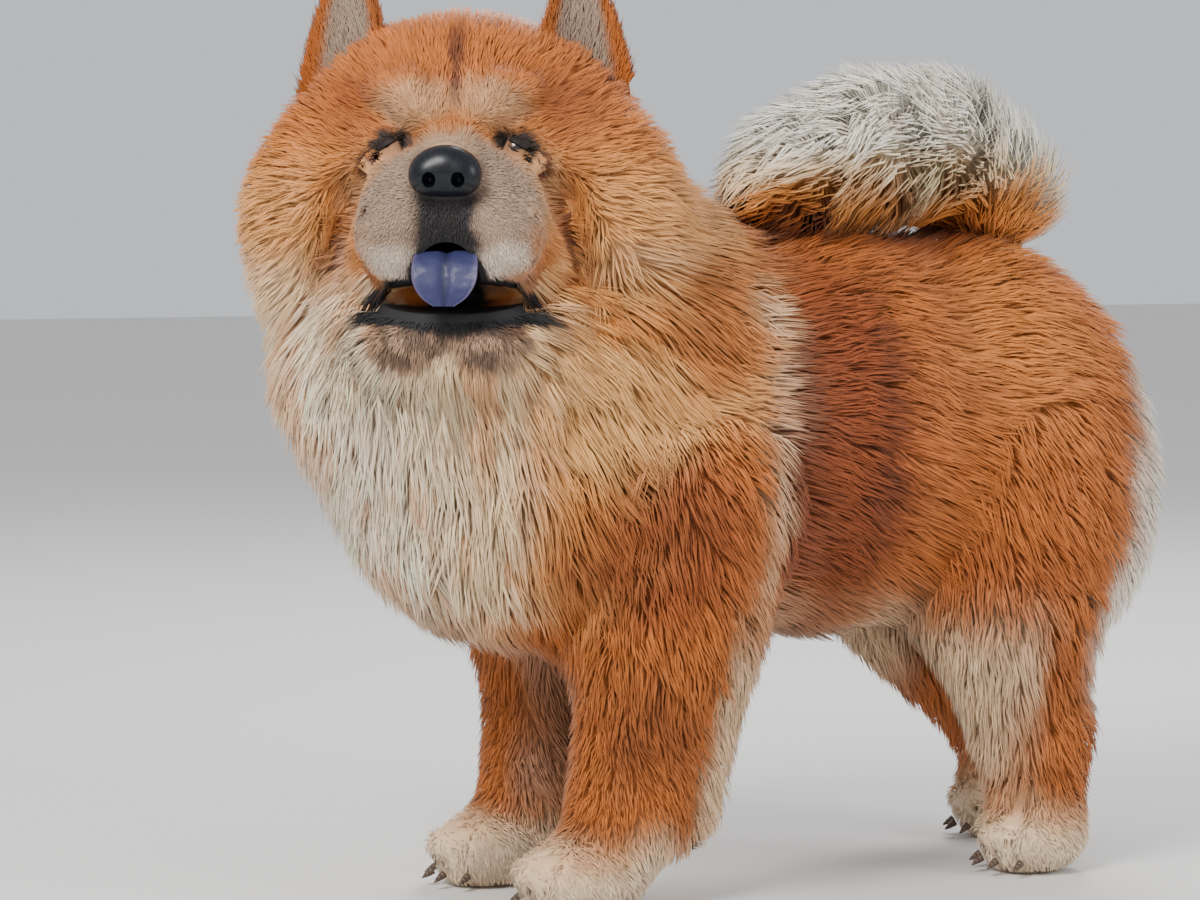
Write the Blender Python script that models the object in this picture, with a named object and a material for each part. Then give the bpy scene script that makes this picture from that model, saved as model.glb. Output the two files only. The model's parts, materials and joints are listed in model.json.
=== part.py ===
"""A life-size chow chow standing with its head turned to its left, as closed solids.

Metres, +Z up. The dog faces -Y and its left side is at +X. The outline that the coat
reaches is a set of rounded forms blended into one surface. The head's own forms are
given in the head's frame, which faces -Y too and is then turned and moved into place.
"""
import math
from collections import namedtuple

import bmesh
import bpy
import numpy as np
from mathutils import Matrix, Vector

# Driving sizes
GAP = 0.0003
FORE_X = 0.070
HIND_X = 0.075
FORE_Y = 0.0
HIND_Y = 0.350
FAR_HIND_BACK = 0.075
SETTLE_REACH = 0.05

# The head's frame
HEAD_AT = Vector((0.0303, -0.1141, 0.530))
HEAD_YAW = math.radians(58.0)
HEAD_FRAME = Matrix.Translation(HEAD_AT) @ Matrix.Rotation(HEAD_YAW, 4, "Z")

# Mesh steps and triangle budgets
BODY_VOXEL = 0.009
HEAD_VOXEL = 0.0032
TAIL_VOXEL = 0.008
BODY_TRIANGLES = 4200
HEAD_TRIANGLES = 3400
TAIL_TRIANGLES = 700

MIRROR = np.array([-1.0, 1.0, 1.0])
Form = namedtuple("Form", "a b ra rb wide blend coat")


def ball(centre, radii, blend=0.03, coat=0.035):
    """An ellipsoid: its centre, its three radii, how softly it blends, its coat's depth."""
    return Form(centre, None, radii, None, None, blend, coat)


def limb(a, b, ra, rb, wide=1.0, blend=0.03, coat=0.035):
    """A tapered rod with round ends; wide stretches it across X."""
    return Form(a, b, ra, rb, wide, blend, coat)


def both(form):
    """The form and its mirror image on the right side."""
    a = tuple(np.array(form.a) * MIRROR)
    b = None if form.b is None else tuple(np.array(form.b) * MIRROR)
    return [form, form._replace(a=a, b=b)]


def chain(points, radii, **settings):
    """Limbs end to end along a line of points."""
    return [
        limb(points[i], points[i + 1], radii[i], radii[i + 1], **settings)
        for i in range(len(points) - 1)
    ]


def distance(form, p):
    """How far each point is from the form, below zero inside it."""
    a = np.array(form.a)
    if form.b is None:
        q, r = p - a, np.array(form.ra)
        k0 = np.linalg.norm(q / r, axis=1)
        k1 = np.linalg.norm(q / r**2, axis=1)
        return k0 * (k0 - 1.0) / np.maximum(k1, 1e-9)
    across = np.array([1.0 / form.wide, 1.0, 1.0])
    q, d = (p - a) * across, (np.array(form.b) - a) * across
    t = np.clip(q @ d / (d @ d), 0.0, 1.0)
    return np.linalg.norm(q - t[:, None] * d, axis=1) - (form.ra + t * (form.rb - form.ra))


def smooth_min(a, b, k):
    h = np.maximum(k - np.abs(a - b), 0.0) / k
    return np.minimum(a, b) - h * h * k * 0.25


def blended(forms, p):
    d = distance(forms[0], p)
    for form in forms[1:]:
        d = smooth_min(d, distance(form, p), form.blend)
    return d


def to_head(p):
    back = np.array(HEAD_FRAME.inverted())
    return p @ back[:3, :3].T + back[:3, 3]


# The trunk, from the breast to the rump
TORSO = [
    ball((0, 0.045, 0.335), (0.152, 0.165, 0.165)),
    ball((0, 0.190, 0.338), (0.146, 0.160, 0.162)),
    ball((0, 0.325, 0.363), (0.130, 0.130, 0.132)),
    ball((0, -0.055, 0.315), (0.142, 0.142, 0.138), coat=0.05),
]
# The mane round the neck, from the withers to the throat
NECK = [
    ball((-0.008, -0.038, 0.392), (0.162, 0.206, 0.152), coat=0.055),
    limb((0.0, 0.045, 0.445), (-0.020, -0.075, 0.505), 0.088, 0.098, coat=0.055),
]


def fore_leg(side):
    x, y = FORE_X * side, FORE_Y
    return [
        limb((x + 0.018 * side, y + 0.035, 0.30), (x + 0.010 * side, y + 0.025, 0.20), 0.090, 0.076),
        limb((x + 0.008 * side, y + 0.020, 0.20), (x, y, 0.075), 0.066, 0.045, blend=0.02, coat=0.02),
        limb((x + 0.004 * side, y + 0.050, 0.17), (x, y + 0.045, 0.072), 0.050, 0.038, wide=0.7),
        limb((x, y, 0.075), (x, y - 0.018, 0.035), 0.043, 0.036, blend=0.02, coat=0.012),
        ball((x, y - 0.045, 0.027), (0.041, 0.050, 0.032), blend=0.015, coat=0.006),
    ]


def hind_leg(side, back):
    x, y = HIND_X * side, HIND_Y + back
    thigh_y = HIND_Y + 0.3 * back
    return [
        ball((x, thigh_y - 0.015, 0.275), (0.078, 0.108, 0.125)),
        ball((x - 0.02 * side, thigh_y + 0.040, 0.300), (0.075, 0.082, 0.130), coat=0.05),
        limb((x + 0.008 * side, thigh_y - 0.030, 0.20), (x + 0.003 * side, y - 0.006, 0.11), 0.074, 0.050),
        limb((x + 0.003 * side, y - 0.002, 0.11), (x, y + 0.004, 0.045), 0.046, 0.038, blend=0.02, coat=0.015),
        ball((x, y - 0.004, 0.027), (0.040, 0.047, 0.031), blend=0.015, coat=0.006),
    ]


LEGS = [
    *fore_leg(1),
    *fore_leg(-1),
    *hind_leg(1, 0.0),
    *hind_leg(-1, FAR_HIND_BACK),
]

# The tail rises from the croup, turns forward and lies over the back
TAIL_LINE = [
    (0.0, 0.350, 0.470), (0.0, 0.352, 0.525), (0.005, 0.300, 0.557),
    (0.012, 0.235, 0.553), (0.020, 0.170, 0.535), (0.026, 0.128, 0.520),
]
TAIL_RADII = [0.048, 0.057, 0.060, 0.060, 0.050, 0.030]
TAIL = chain(TAIL_LINE, TAIL_RADII, wide=1.35, blend=0.02, coat=0.05)

# The head: skull, cheeks and the mane behind them, then the face
SKULL = [
    ball((0, 0.015, 0.035), (0.116, 0.085, 0.086), coat=0.02),
    *both(ball((0.082, 0.012, -0.035), (0.084, 0.072, 0.095), coat=0.04)),
    ball((0, 0.045, -0.045), (0.163, 0.095, 0.145), coat=0.055),
]
FACE = [
    ball((0, -0.066, -0.030), (0.065, 0.050, 0.052), blend=0.016, coat=0.004),
    *both(ball((0.034, -0.088, -0.043), (0.033, 0.033, 0.035), blend=0.010, coat=0.003)),
    limb((0, -0.050, 0.008), (0, -0.106, 0.004), 0.025, 0.020, blend=0.015, coat=0.003),
    *both(limb((0.010, -0.078, 0.038), (0.026, -0.082, 0.046), 0.0125, 0.012, blend=0.008, coat=0.006)),
    *both(limb((0.030, -0.075, 0.059), (0.047, -0.064, 0.060), 0.012, 0.010, blend=0.008, coat=0.006)),
    *both(limb((0.046, -0.066, 0.000), (0.060, -0.056, -0.045), 0.014, 0.016, blend=0.010, coat=0.006)),
    ball((0, -0.058, -0.100), (0.056, 0.046, 0.023), blend=0.010, coat=0.004),
    *both(ball((0.027, -0.082, -0.108), (0.027, 0.020, 0.014), blend=0.008, coat=0.004)),
]
# What is pressed into the face: brow furrow, folds, eye slits, the groove under the nose
HOLLOWS = [
    *chain([(0, -0.088, 0.033), (0, -0.083, 0.058), (0, -0.066, 0.086)], [0.004, 0.005, 0.005], blend=0.010),
    *both(limb((0.040, -0.074, 0.030), (0.034, -0.084, 0.045), 0.003, 0.003, blend=0.006)),
    *both(limb((0.034, -0.084, 0.045), (0.023, -0.086, 0.054), 0.003, 0.003, blend=0.006)),
    *both(limb((0.034, -0.068, 0.024), (0.045, -0.066, 0.017), 0.0045, 0.005, blend=0.005)),
    *both(limb((0.045, -0.066, 0.017), (0.058, -0.058, 0.007), 0.005, 0.004, blend=0.006)),
    *both(limb((0.058, -0.060, 0.007), (0.074, -0.056, -0.019), 0.005, 0.006, blend=0.012)),
    *both(limb((0.074, -0.056, -0.019), (0.090, -0.052, -0.062), 0.006, 0.006, blend=0.014)),
    *both(limb((0.046, -0.096, -0.006), (0.054, -0.098, -0.030), 0.003, 0.003, blend=0.006)),
    *both(limb((0.054, -0.098, -0.030), (0.054, -0.094, -0.058), 0.003, 0.003, blend=0.006)),
    limb((0, -0.123, -0.020), (0, -0.121, -0.050), 0.003, 0.003, blend=0.004),
]
MOUTH = [
    ball((0, -0.088, -0.0865), (0.056, 0.052, 0.0120)),
    ball((0, -0.092, -0.0690), (0.023, 0.046, 0.0230)),
]
EYE = ball((0.0440, -0.0560, 0.0168), (0.0105, 0.0105, 0.0105))
EYE_SLIT = [
    *both(ball((0.0370, -0.0700, 0.0215), (0.0060, 0.0100, 0.0036))),
    *both(ball((0.0440, -0.0700, 0.0170), (0.0095, 0.0100, 0.0046))),
    *both(ball((0.0520, -0.0660, 0.0122), (0.0060, 0.0100, 0.0036))),
]


def body_outline(p):
    """The surface that the coat reaches, everywhere but on the tail, the ears and the nose."""
    q = to_head(p)
    d = smooth_min(blended(TORSO + NECK + LEGS, p), blended(SKULL, q), 0.03)
    for form in FACE:
        d = smooth_min(d, distance(form, q), form.blend)
    for form in HOLLOWS:
        d = -smooth_min(-d, distance(form, q), form.blend)
    return d


def tail_outline(p):
    return blended(TAIL, p)


def settled(points, field, rounds=5, probe=0.0002):
    """The points near the field's surface moved on to it; those of a cut face stay."""
    deep = field(points) < -SETTLE_REACH
    for _ in range(rounds):
        here = field(points)
        slope = np.stack([(field(points + probe * e) - here) / probe for e in np.eye(3)], -1)
        steep = np.maximum((slope**2).sum(1), 0.2)
        points = points - slope * (np.where(deep, 0.0, here) / steep)[:, None]
    return points


def new_object(name, mesh):
    obj = bpy.data.objects.new(name, mesh)
    bpy.context.scene.collection.objects.link(obj)
    return obj


def applied(obj):
    """The object with its modifiers made part of its mesh."""
    bpy.context.view_layer.update()
    graph = bpy.context.evaluated_depsgraph_get()
    mesh = bpy.data.meshes.new_from_object(obj.evaluated_get(graph))
    obj.modifiers.clear()
    obj.data = mesh
    return obj


def remeshed(obj, voxel):
    remesh = obj.modifiers.new("Remesh", "REMESH")
    remesh.mode = "VOXEL"
    remesh.voxel_size = voxel
    return applied(obj)


def rough_union(name, groups, voxel):
    """Spheres along every form of the groups (forms, frame), remeshed into one closed skin."""
    bm = bmesh.new()
    for form, frame in [(form, frame) for forms, frame in groups for form in forms]:
        a = Vector(form.a)
        if form.b is None:
            stretch = Matrix.Diagonal((*form.ra, 1.0))
            matrix = frame @ Matrix.Translation(a) @ stretch
            bmesh.ops.create_icosphere(bm, subdivisions=4, radius=1.0, matrix=matrix)
            continue
        b = Vector(form.b)
        steps = max(1, math.ceil((b - a).length / (0.35 * min(form.ra, form.rb))))
        for i in range(steps + 1):
            t = i / steps
            r = form.ra + t * (form.rb - form.ra)
            stretch = Matrix.Diagonal((r * form.wide, r, r, 1.0))
            matrix = frame @ Matrix.Translation(a.lerp(b, t)) @ stretch
            bmesh.ops.create_icosphere(bm, subdivisions=3, radius=1.0, matrix=matrix)
    mesh = bpy.data.meshes.new(name)
    bm.to_mesh(mesh)
    bm.free()
    obj = new_object(name, mesh)
    return remeshed(obj, voxel)


def skin_of(name, groups, voxel, field, triangles, near=None):
    """A closed skin on the field's surface, with about so many triangles."""
    obj = rough_union(name, groups, voxel)
    smooth = obj.modifiers.new("Smooth", "SMOOTH")
    smooth.iterations = 3
    applied(obj)
    if near is not None:
        bm = bmesh.new()
        bm.from_mesh(obj.data)
        slice_off(bm, near, HEAD_FRAME)
        bm.to_mesh(obj.data)
        bm.free()
    points = np.array([v.co for v in obj.data.vertices])
    obj.data.vertices.foreach_set("co", settled(points, field).astype(np.float32).ravel())
    remeshed(obj, voxel)
    faces = sum(len(p.vertices) - 2 for p in obj.data.polygons)
    thin = obj.modifiers.new("Decimate", "DECIMATE")
    thin.ratio = triangles / faces
    thin.use_collapse_triangulate = True
    return applied(obj)


def cut(obj, other, operation):
    """A Boolean of two closed meshes, made part of the first."""
    boolean = obj.modifiers.new("Boolean", "BOOLEAN")
    boolean.operation = operation
    boolean.object = other
    boolean.solver = "MANIFOLD"
    return applied(obj)


def slice_off(bm, planes, frame, grow=0.0):
    """Cuts the closed mesh off outside each plane (point, outward normal) and closes it again."""
    for point, normal in planes:
        n = (frame.to_3x3() @ Vector(normal)).normalized()
        at = frame @ Vector(point) + n * grow
        found = bmesh.ops.bisect_plane(
            bm, geom=bm.verts[:] + bm.edges[:] + bm.faces[:], plane_co=at, plane_no=n, clear_outer=True
        )
        edges = [e for e in found["geom_cut"] if isinstance(e, bmesh.types.BMEdge)]
        bmesh.ops.edgeloop_fill(bm, edges=edges)
    bmesh.ops.recalc_face_normals(bm, faces=bm.faces[:])


def block(planes, frame, grow=0.0):
    """A wide convex block, the space inside all the planes."""
    bm = bmesh.new()
    bmesh.ops.create_cube(bm, size=2.0)
    slice_off(bm, planes, frame, grow)
    mesh = bpy.data.meshes.new("block")
    bm.to_mesh(mesh)
    bm.free()
    obj = new_object("block", mesh)
    obj.hide_render = True
    obj.display_type = "WIRE"
    return obj


def drop(obj):
    bpy.data.objects.remove(obj)


def copy_of(obj, name):
    return new_object(name, obj.data.copy())


def cut_by(obj, planes, operation, frame=Matrix(), grow=0.0):
    cutter = block(planes, frame, grow)
    cut(obj, cutter, operation)
    drop(cutter)


def split(rest, name, planes, frame=Matrix()):
    """Takes the part of rest inside the planes off as an object of its own, a gap apart."""
    piece = copy_of(rest, name)
    cut_by(piece, planes, "INTERSECT", frame)
    cut_by(rest, planes, "DIFFERENCE", frame, GAP)
    return piece


def clear(obj, other):
    """Cuts the object a gap clear of the other one."""
    cutter = grown(other, "cutter", GAP)
    cut(obj, cutter, "DIFFERENCE")
    drop(cutter)


def largest_only(obj):
    """Keeps the largest closed surface of the mesh."""
    bm = bmesh.new()
    bm.from_mesh(obj.data)
    left, groups = set(bm.verts), []
    while left:
        group, edge = set(), [left.pop()]
        while edge:
            v = edge.pop()
            group.add(v)
            for e in v.link_edges:
                other = e.other_vert(v)
                if other in left:
                    left.discard(other)
                    edge.append(other)
        groups.append(group)
    keep = max(groups, key=len)
    bmesh.ops.delete(bm, geom=[v for v in bm.verts if v not in keep], context="VERTS")
    bm.to_mesh(obj.data)
    bm.free()
    return obj


NEAR_HEAD = [((0, 0.12, 0), (0, 1, 0)), ((0, 0, -0.17), (0, 0, -1))]
HEAD_PLANES = [((0, 0.060, -0.020), (0, 1, -0.30)), ((0, -0.080, -0.130), (0, -0.16, -1))]
JAW_PLANES = [
    ((0, -0.030, -0.10), (0, 1, 0)),
    ((0.060, 0, 0), (1, 0, 0)),
    ((-0.060, 0, 0), (-1, 0, 0)),
    ((0, 0, -0.0865), (0, 0, 1)),
    ((0, -0.08, -0.1275), (0, -0.16, -1)),
]
NECK_PLANES = [((0, 0.110, 0.520), (0, 0.64, -0.77))]


def fore_planes(side):
    return [
        ((0, 0, 0), (-side, 0, 0)),
        ((0.030 * side, 0, 0.180), (-0.75 * side, 0, 0.66)),
        ((0, -0.110, 0), (0, -1, 0)),
        ((0, 0.125, 0), (0, 1, 0.1)),
    ]


def hind_planes(side, back):
    return [
        ((0, 0, 0), (-side, 0, 0)),
        ((0.022 * side, 0, 0.180), (-0.82 * side, 0, 0.57)),
        ((0, 0.215 + back, 0.2), (0, -1, -0.1)),
    ]


def grid_solid(name, front, back):
    """A closed solid between two grids of points of one size, with a wall round their rims."""
    rows, columns = front.shape[:2]
    points = np.concatenate([front.reshape(-1, 3), back.reshape(-1, 3)])
    half = rows * columns

    def quads(at, turned):
        made = []
        for i in range(rows - 1):
            for j in range(columns - 1):
                a = at + i * columns + j
                face = (a, a + 1, a + columns + 1, a + columns)
                made += [(face[0], face[1], face[2]), (face[0], face[2], face[3])]
        return [f[::-1] for f in made] if turned else made

    rim = [j for j in range(columns)]
    rim += [i * columns + columns - 1 for i in range(1, rows)]
    rim += [(rows - 1) * columns + j for j in range(columns - 2, -1, -1)]
    rim += [i * columns for i in range(rows - 2, 0, -1)]
    walls = []
    for a, b in zip(rim, rim[1:] + rim[:1]):
        walls += [(b, a, a + half), (b, a + half, b + half)]
    bm = bmesh.new()
    verts = [bm.verts.new(p) for p in points]
    for f in quads(0, False) + quads(half, True) + walls:
        bm.faces.new([verts[i] for i in f])
    bmesh.ops.recalc_face_normals(bm, faces=bm.faces[:])
    if bm.calc_volume(signed=True) < 0:
        bmesh.ops.reverse_faces(bm, faces=bm.faces[:])
    mesh = bpy.data.meshes.new(name)
    bm.to_mesh(mesh)
    bm.free()
    return new_object(name, mesh)


# The ears: small, thick, rounded at the tip, a cup that opens forward
EAR_ROOT = np.array([0.078, 0.014, 0.066])
EAR_UP = np.array([0.22, -0.04, 1.0])
EAR_ACROSS = np.array([0.93, 0.36, -0.22])
EAR_HEIGHT = 0.122
EAR_HALF_WIDTH = 0.036
EAR_CUP = 0.016
EAR_THICK = 0.009


def ear(name, side):
    """A cupped leaf; its front grid lies deeper in the middle than at the rims."""
    up = EAR_UP / np.linalg.norm(EAR_UP)
    across = EAR_ACROSS - up * (EAR_ACROSS @ up)
    across /= np.linalg.norm(across)
    back = np.cross(up, across)
    back *= np.sign(back[1])
    rows, columns = 9, 9
    front, rear = np.zeros((rows, columns, 3)), np.zeros((rows, columns, 3))
    for i in range(rows):
        v = math.sin(0.5 * math.pi * i / (rows - 1))
        half = EAR_HALF_WIDTH * math.sqrt(max(0.0, 1.0 - v**3.2)) * (1.0 - 0.22 * v) + 0.003
        for j in range(columns):
            u = 2 * j / (columns - 1) - 1
            line = EAR_ROOT + up * EAR_HEIGHT * (v - 0.18) + across * half * u
            dip = EAR_CUP * (1 - u * u) * (1.0 - 0.75 * v)
            thick = EAR_THICK * (0.55 + 0.45 * (1 - u * u)) * (1.0 - 0.45 * v)
            front[i, j] = line + back * dip
            rear[i, j] = line + back * (dip + thick)
    if side < 0:
        front, rear = front * MIRROR, rear * MIRROR
    obj = grid_solid(name, front, rear)
    obj.data.transform(HEAD_FRAME)
    return obj


# The nose leather, with two nostrils
NOSE = [ball((0, -0.1165, 0.0010), (0.0235, 0.0150, 0.0180)), *both(ball((0.013, -0.1185, -0.003), (0.0115, 0.0115, 0.0125), blend=0.006))]
NOSTRILS = both(ball((0.0105, -0.1330, -0.0045), (0.0045, 0.0090, 0.0048)))
NOSE_VOXEL = 0.0018
NOSE_TRIANGLES = 420


def nose_outline(p):
    return blended(NOSE, to_head(p))


# The tongue comes out between the lips and hangs over the lower one
TONGUE_LINE = [
    (0, -0.030, -0.0720), (0, -0.080, -0.0640), (0, -0.106, -0.0580), (0, -0.117, -0.0640),
    (0, -0.1225, -0.0750), (0, -0.1245, -0.0850), (0, -0.1245, -0.0920),
]
TONGUE_HALF = [0.016, 0.019, 0.021, 0.0225, 0.0220, 0.0165, 0.0070]
TONGUE_THICK = [0.008, 0.008, 0.008, 0.007, 0.006, 0.005, 0.003]


def tongue(name):
    columns = 7
    line = [np.array(p) for p in TONGUE_LINE]
    top, under = np.zeros((len(line), columns, 3)), np.zeros((len(line), columns, 3))
    for i, at in enumerate(line):
        ahead = line[min(i + 1, len(line) - 1)] - line[max(i - 1, 0)]
        normal = np.cross([1, 0, 0], ahead)
        normal /= np.linalg.norm(normal)
        normal *= np.sign(normal[2] - normal[1])
        for j in range(columns):
            u = 2 * j / (columns - 1) - 1
            side = np.array([TONGUE_HALF[i] * math.sin(u * math.pi / 2), 0, 0])
            curl = 0.002 * u * u - 0.0012 * math.exp(-((u / 0.12) ** 2))
            thick = TONGUE_THICK[i] * math.sqrt(1 - 0.8 * u * u)
            top[i, j] = at + side + normal * (curl + thick / 2)
            under[i, j] = at + side + normal * (curl - thick / 2)
    obj = grid_solid(name, top, under)
    obj.data.transform(HEAD_FRAME)
    return obj


def plain_ball(name, form, rings, grow=0.0):
    """One of the head's balls as a mesh of its own."""
    bm = bmesh.new()
    stretch = Matrix.Diagonal((*(r + grow for r in form.ra), 1.0))
    matrix = HEAD_FRAME @ Matrix.Translation(form.a) @ stretch
    bmesh.ops.create_uvsphere(bm, u_segments=2 * rings, v_segments=rings, radius=1.0, matrix=matrix)
    mesh = bpy.data.meshes.new(name)
    bm.to_mesh(mesh)
    bm.free()
    return new_object(name, mesh)


def hollow(obj, form, rings, grow=0.0):
    """Cuts a ball's room out of the object."""
    cutter = plain_ball("cutter", form, rings, grow)
    cut(obj, cutter, "DIFFERENCE")
    drop(cutter)


def grown(obj, name, by):
    """A copy of the object, its surface moved outward."""
    other = copy_of(obj, name)
    bm = bmesh.new()
    bm.from_mesh(other.data)
    bm.normal_update()
    for v in bm.verts:
        v.co += v.normal * by
    bm.to_mesh(other.data)
    bm.free()
    return other


def paint(obj, colour, roughness, metallic=0.0):
    material = bpy.data.materials.new(obj.name)
    material.use_nodes = True
    shader = material.node_tree.nodes["Principled BSDF"]
    shader.inputs["Base Color"].default_value = (*colour, 1.0)
    shader.inputs["Roughness"].default_value = roughness
    shader.inputs["Metallic"].default_value = metallic
    obj.data.materials.clear()
    obj.data.materials.append(material)


RUST = (0.42, 0.16, 0.045)
CREAM = (0.75, 0.55, 0.36)
TAN = (0.50, 0.26, 0.10)
BLACK = (0.012, 0.012, 0.016)
BLUE_BLACK = (0.055, 0.060, 0.115)
COLOURS = {
    "torso": (RUST, 0.8), "neck": (TAN, 0.8), "head": (RUST, 0.8), "lower_jaw": (TAN, 0.7),
    "nose": (BLACK, 0.35), "tongue": (BLUE_BLACK, 0.45), "eye_left": (BLACK, 0.1), "eye_right": (BLACK, 0.1),
    "ear_left": (RUST, 0.8), "ear_right": (RUST, 0.8), "tail": (CREAM, 0.8),
    "fore_leg_left": (RUST, 0.8), "fore_leg_right": (RUST, 0.8),
    "hind_leg_left": (RUST, 0.8), "hind_leg_right": (RUST, 0.8),
}


def make_dog():
    for obj in list(bpy.data.objects):
        bpy.data.objects.remove(obj)
    floor = [((0, 0, 0), (0, 0, -1))]
    trunk = TORSO + NECK + LEGS

    torso = skin_of("torso", [(trunk, Matrix()), (SKULL, HEAD_FRAME)], BODY_VOXEL, body_outline, BODY_TRIANGLES)
    cut_by(torso, floor, "INTERSECT")
    cut_by(torso, HEAD_PLANES, "DIFFERENCE", HEAD_FRAME, GAP)
    neck = split(torso, "neck", NECK_PLANES)
    nodes = [torso, neck]
    for side, name in ((1, "left"), (-1, "right")):
        nodes.append(split(torso, "fore_leg_" + name, fore_planes(side)))
        back = 0.0 if side > 0 else FAR_HIND_BACK
        nodes.append(split(torso, "hind_leg_" + name, hind_planes(side, back)))

    tail = skin_of("tail", [(TAIL, Matrix())], TAIL_VOXEL, tail_outline, TAIL_TRIANGLES)
    clear(tail, torso)
    clear(tail, neck)
    nodes.append(tail)

    face = [(SKULL + FACE, HEAD_FRAME), (TORSO + NECK, Matrix())]
    head = skin_of("head", face, HEAD_VOXEL, body_outline, HEAD_TRIANGLES, NEAR_HEAD)
    cut_by(head, HEAD_PLANES, "INTERSECT", HEAD_FRAME)
    nose = skin_of("nose", [(NOSE, HEAD_FRAME)], NOSE_VOXEL, nose_outline, NOSE_TRIANGLES)
    clear(head, nose)
    for form in NOSTRILS:
        hollow(nose, form, 6)
    for form in MOUTH:
        hollow(head, form, 10)
    jaw = split(head, "lower_jaw", JAW_PLANES, HEAD_FRAME)
    nodes += [head, nose, jaw]
    for form in EYE_SLIT:
        hollow(head, form, 8)
    for form, name in zip(both(EYE), ("left", "right")):
        hollow(head, form, 8, GAP)
        nodes.append(plain_ball("eye_" + name, form, 8))
    for side, name in ((1, "left"), (-1, "right")):
        leaf = ear("ear_" + name, side)
        clear(leaf, head)
        clear(leaf, neck)
        nodes.append(leaf)
    licker = tongue("tongue")
    clear(licker, head)
    clear(licker, jaw)
    nodes.append(licker)

    for obj in nodes:
        largest_only(obj)
        paint(obj, *COLOURS[obj.name])
        obj.data.shade_smooth()
    low = [min(min((obj.matrix_world @ v.co)[i] for v in obj.data.vertices) for obj in nodes) for i in range(3)]
    high = [max(max((obj.matrix_world @ v.co)[i] for v in obj.data.vertices) for obj in nodes) for i in range(3)]
    shift = Matrix.Translation((-(low[0] + high[0]) / 2, -(low[1] + high[1]) / 2, -low[2]))
    for obj in nodes:
        obj.data.transform(shift)


make_dog()
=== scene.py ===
import json
import math
from collections import namedtuple

import bmesh
import bpy
import numpy as np
from mathutils import Matrix, Vector
from mathutils.bvhtree import BVHTree
from mathutils.kdtree import KDTree

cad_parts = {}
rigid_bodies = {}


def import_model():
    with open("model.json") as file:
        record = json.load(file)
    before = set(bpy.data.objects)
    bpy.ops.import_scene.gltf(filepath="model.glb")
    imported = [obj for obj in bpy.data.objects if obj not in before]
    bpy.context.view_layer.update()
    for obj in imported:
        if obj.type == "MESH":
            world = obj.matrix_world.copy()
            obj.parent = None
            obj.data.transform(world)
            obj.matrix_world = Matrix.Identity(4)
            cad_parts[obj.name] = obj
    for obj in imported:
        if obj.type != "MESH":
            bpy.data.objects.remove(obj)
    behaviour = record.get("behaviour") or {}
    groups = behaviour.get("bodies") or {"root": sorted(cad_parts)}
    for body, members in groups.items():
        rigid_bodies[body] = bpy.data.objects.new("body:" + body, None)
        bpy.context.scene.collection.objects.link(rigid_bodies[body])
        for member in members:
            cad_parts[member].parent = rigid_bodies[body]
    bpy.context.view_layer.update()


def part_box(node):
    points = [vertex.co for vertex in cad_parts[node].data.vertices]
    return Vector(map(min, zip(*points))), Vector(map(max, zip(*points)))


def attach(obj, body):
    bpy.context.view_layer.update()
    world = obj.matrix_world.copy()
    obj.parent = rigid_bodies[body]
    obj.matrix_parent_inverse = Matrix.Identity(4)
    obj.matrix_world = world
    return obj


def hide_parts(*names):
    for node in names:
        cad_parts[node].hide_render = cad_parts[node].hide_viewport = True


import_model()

rng = np.random.default_rng(23)

# ---- the dog's forms
FORE_X, FORE_Y = 0.07, 0.0
HIND_X, HIND_Y = 0.075, 0.35
FAR_HIND_BACK = 0.075
HEAD_AT = Vector((0.0303, -0.1141, 0.53))
HEAD_YAW = math.radians(58.0)
HEAD_FRAME = Matrix.Translation(HEAD_AT) @ Matrix.Rotation(HEAD_YAW, 4, "Z")
HEAD_TURN = np.array(HEAD_FRAME)[:3, :3]
MIRROR = np.array([-1.0, 1.0, 1.0])
Form = namedtuple("Form", "a b ra rb wide blend coat")


def ball(centre, radii, blend=0.03, coat=0.035):
    """An ellipsoid: its centre, its three radii, how softly it blends, its coat's depth."""
    return Form(centre, None, radii, None, None, blend, coat)


def limb(a, b, ra, rb, wide=1.0, blend=0.03, coat=0.035):
    """A tapered rod with round ends; wide stretches it across X."""
    return Form(a, b, ra, rb, wide, blend, coat)


def signs(side):
    """What turns a point or direction of the left side, 1, into the given side's."""
    return MIRROR if side < 0 else 1.0


def both(form):
    """The form and its mirror image on the right side."""
    a = tuple(np.array(form.a) * MIRROR)
    b = None if form.b is None else tuple(np.array(form.b) * MIRROR)
    return [form, form._replace(a=a, b=b)]


def chain(points, radii, **settings):
    """Limbs end to end along a line of points."""
    return [
        limb(points[i], points[i + 1], radii[i], radii[i + 1], **settings)
        for i in range(len(points) - 1)
    ]


def distance(form, p):
    """How far each point is from the form, below zero inside it."""
    a = np.array(form.a)
    if form.b is None:
        q, r = p - a, np.array(form.ra)
        k0 = np.sqrt((q / r) ** 2 @ np.ones(3))
        k1 = np.sqrt((q / r**2) ** 2 @ np.ones(3))
        return k0 * (k0 - 1.0) / np.maximum(k1, 1e-9)
    across = np.array([1.0 / form.wide, 1.0, 1.0])
    q, d = (p - a) * across, (np.array(form.b) - a) * across
    t = np.clip(q @ d / (d @ d), 0.0, 1.0)
    return np.sqrt((q - t[:, None] * d) ** 2 @ np.ones(3)) - (form.ra + t * (form.rb - form.ra))


def smooth_min(a, b, k):
    """The lesser of two distances, rounded off where they differ by less than k."""
    h = np.maximum(k - np.abs(a - b), 0.0) / k
    return np.minimum(a, b) - h * h * k * 0.25


def blended(forms, p):
    """How far each point is from the forms run together."""
    d = distance(forms[0], p)
    for form in forms[1:]:
        d = smooth_min(d, distance(form, p), form.blend)
    return d


def to_head(p):
    """The points in the head's own frame."""
    back = np.array(HEAD_FRAME.inverted())
    return p @ back[:3, :3].T + back[:3, 3]


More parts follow.
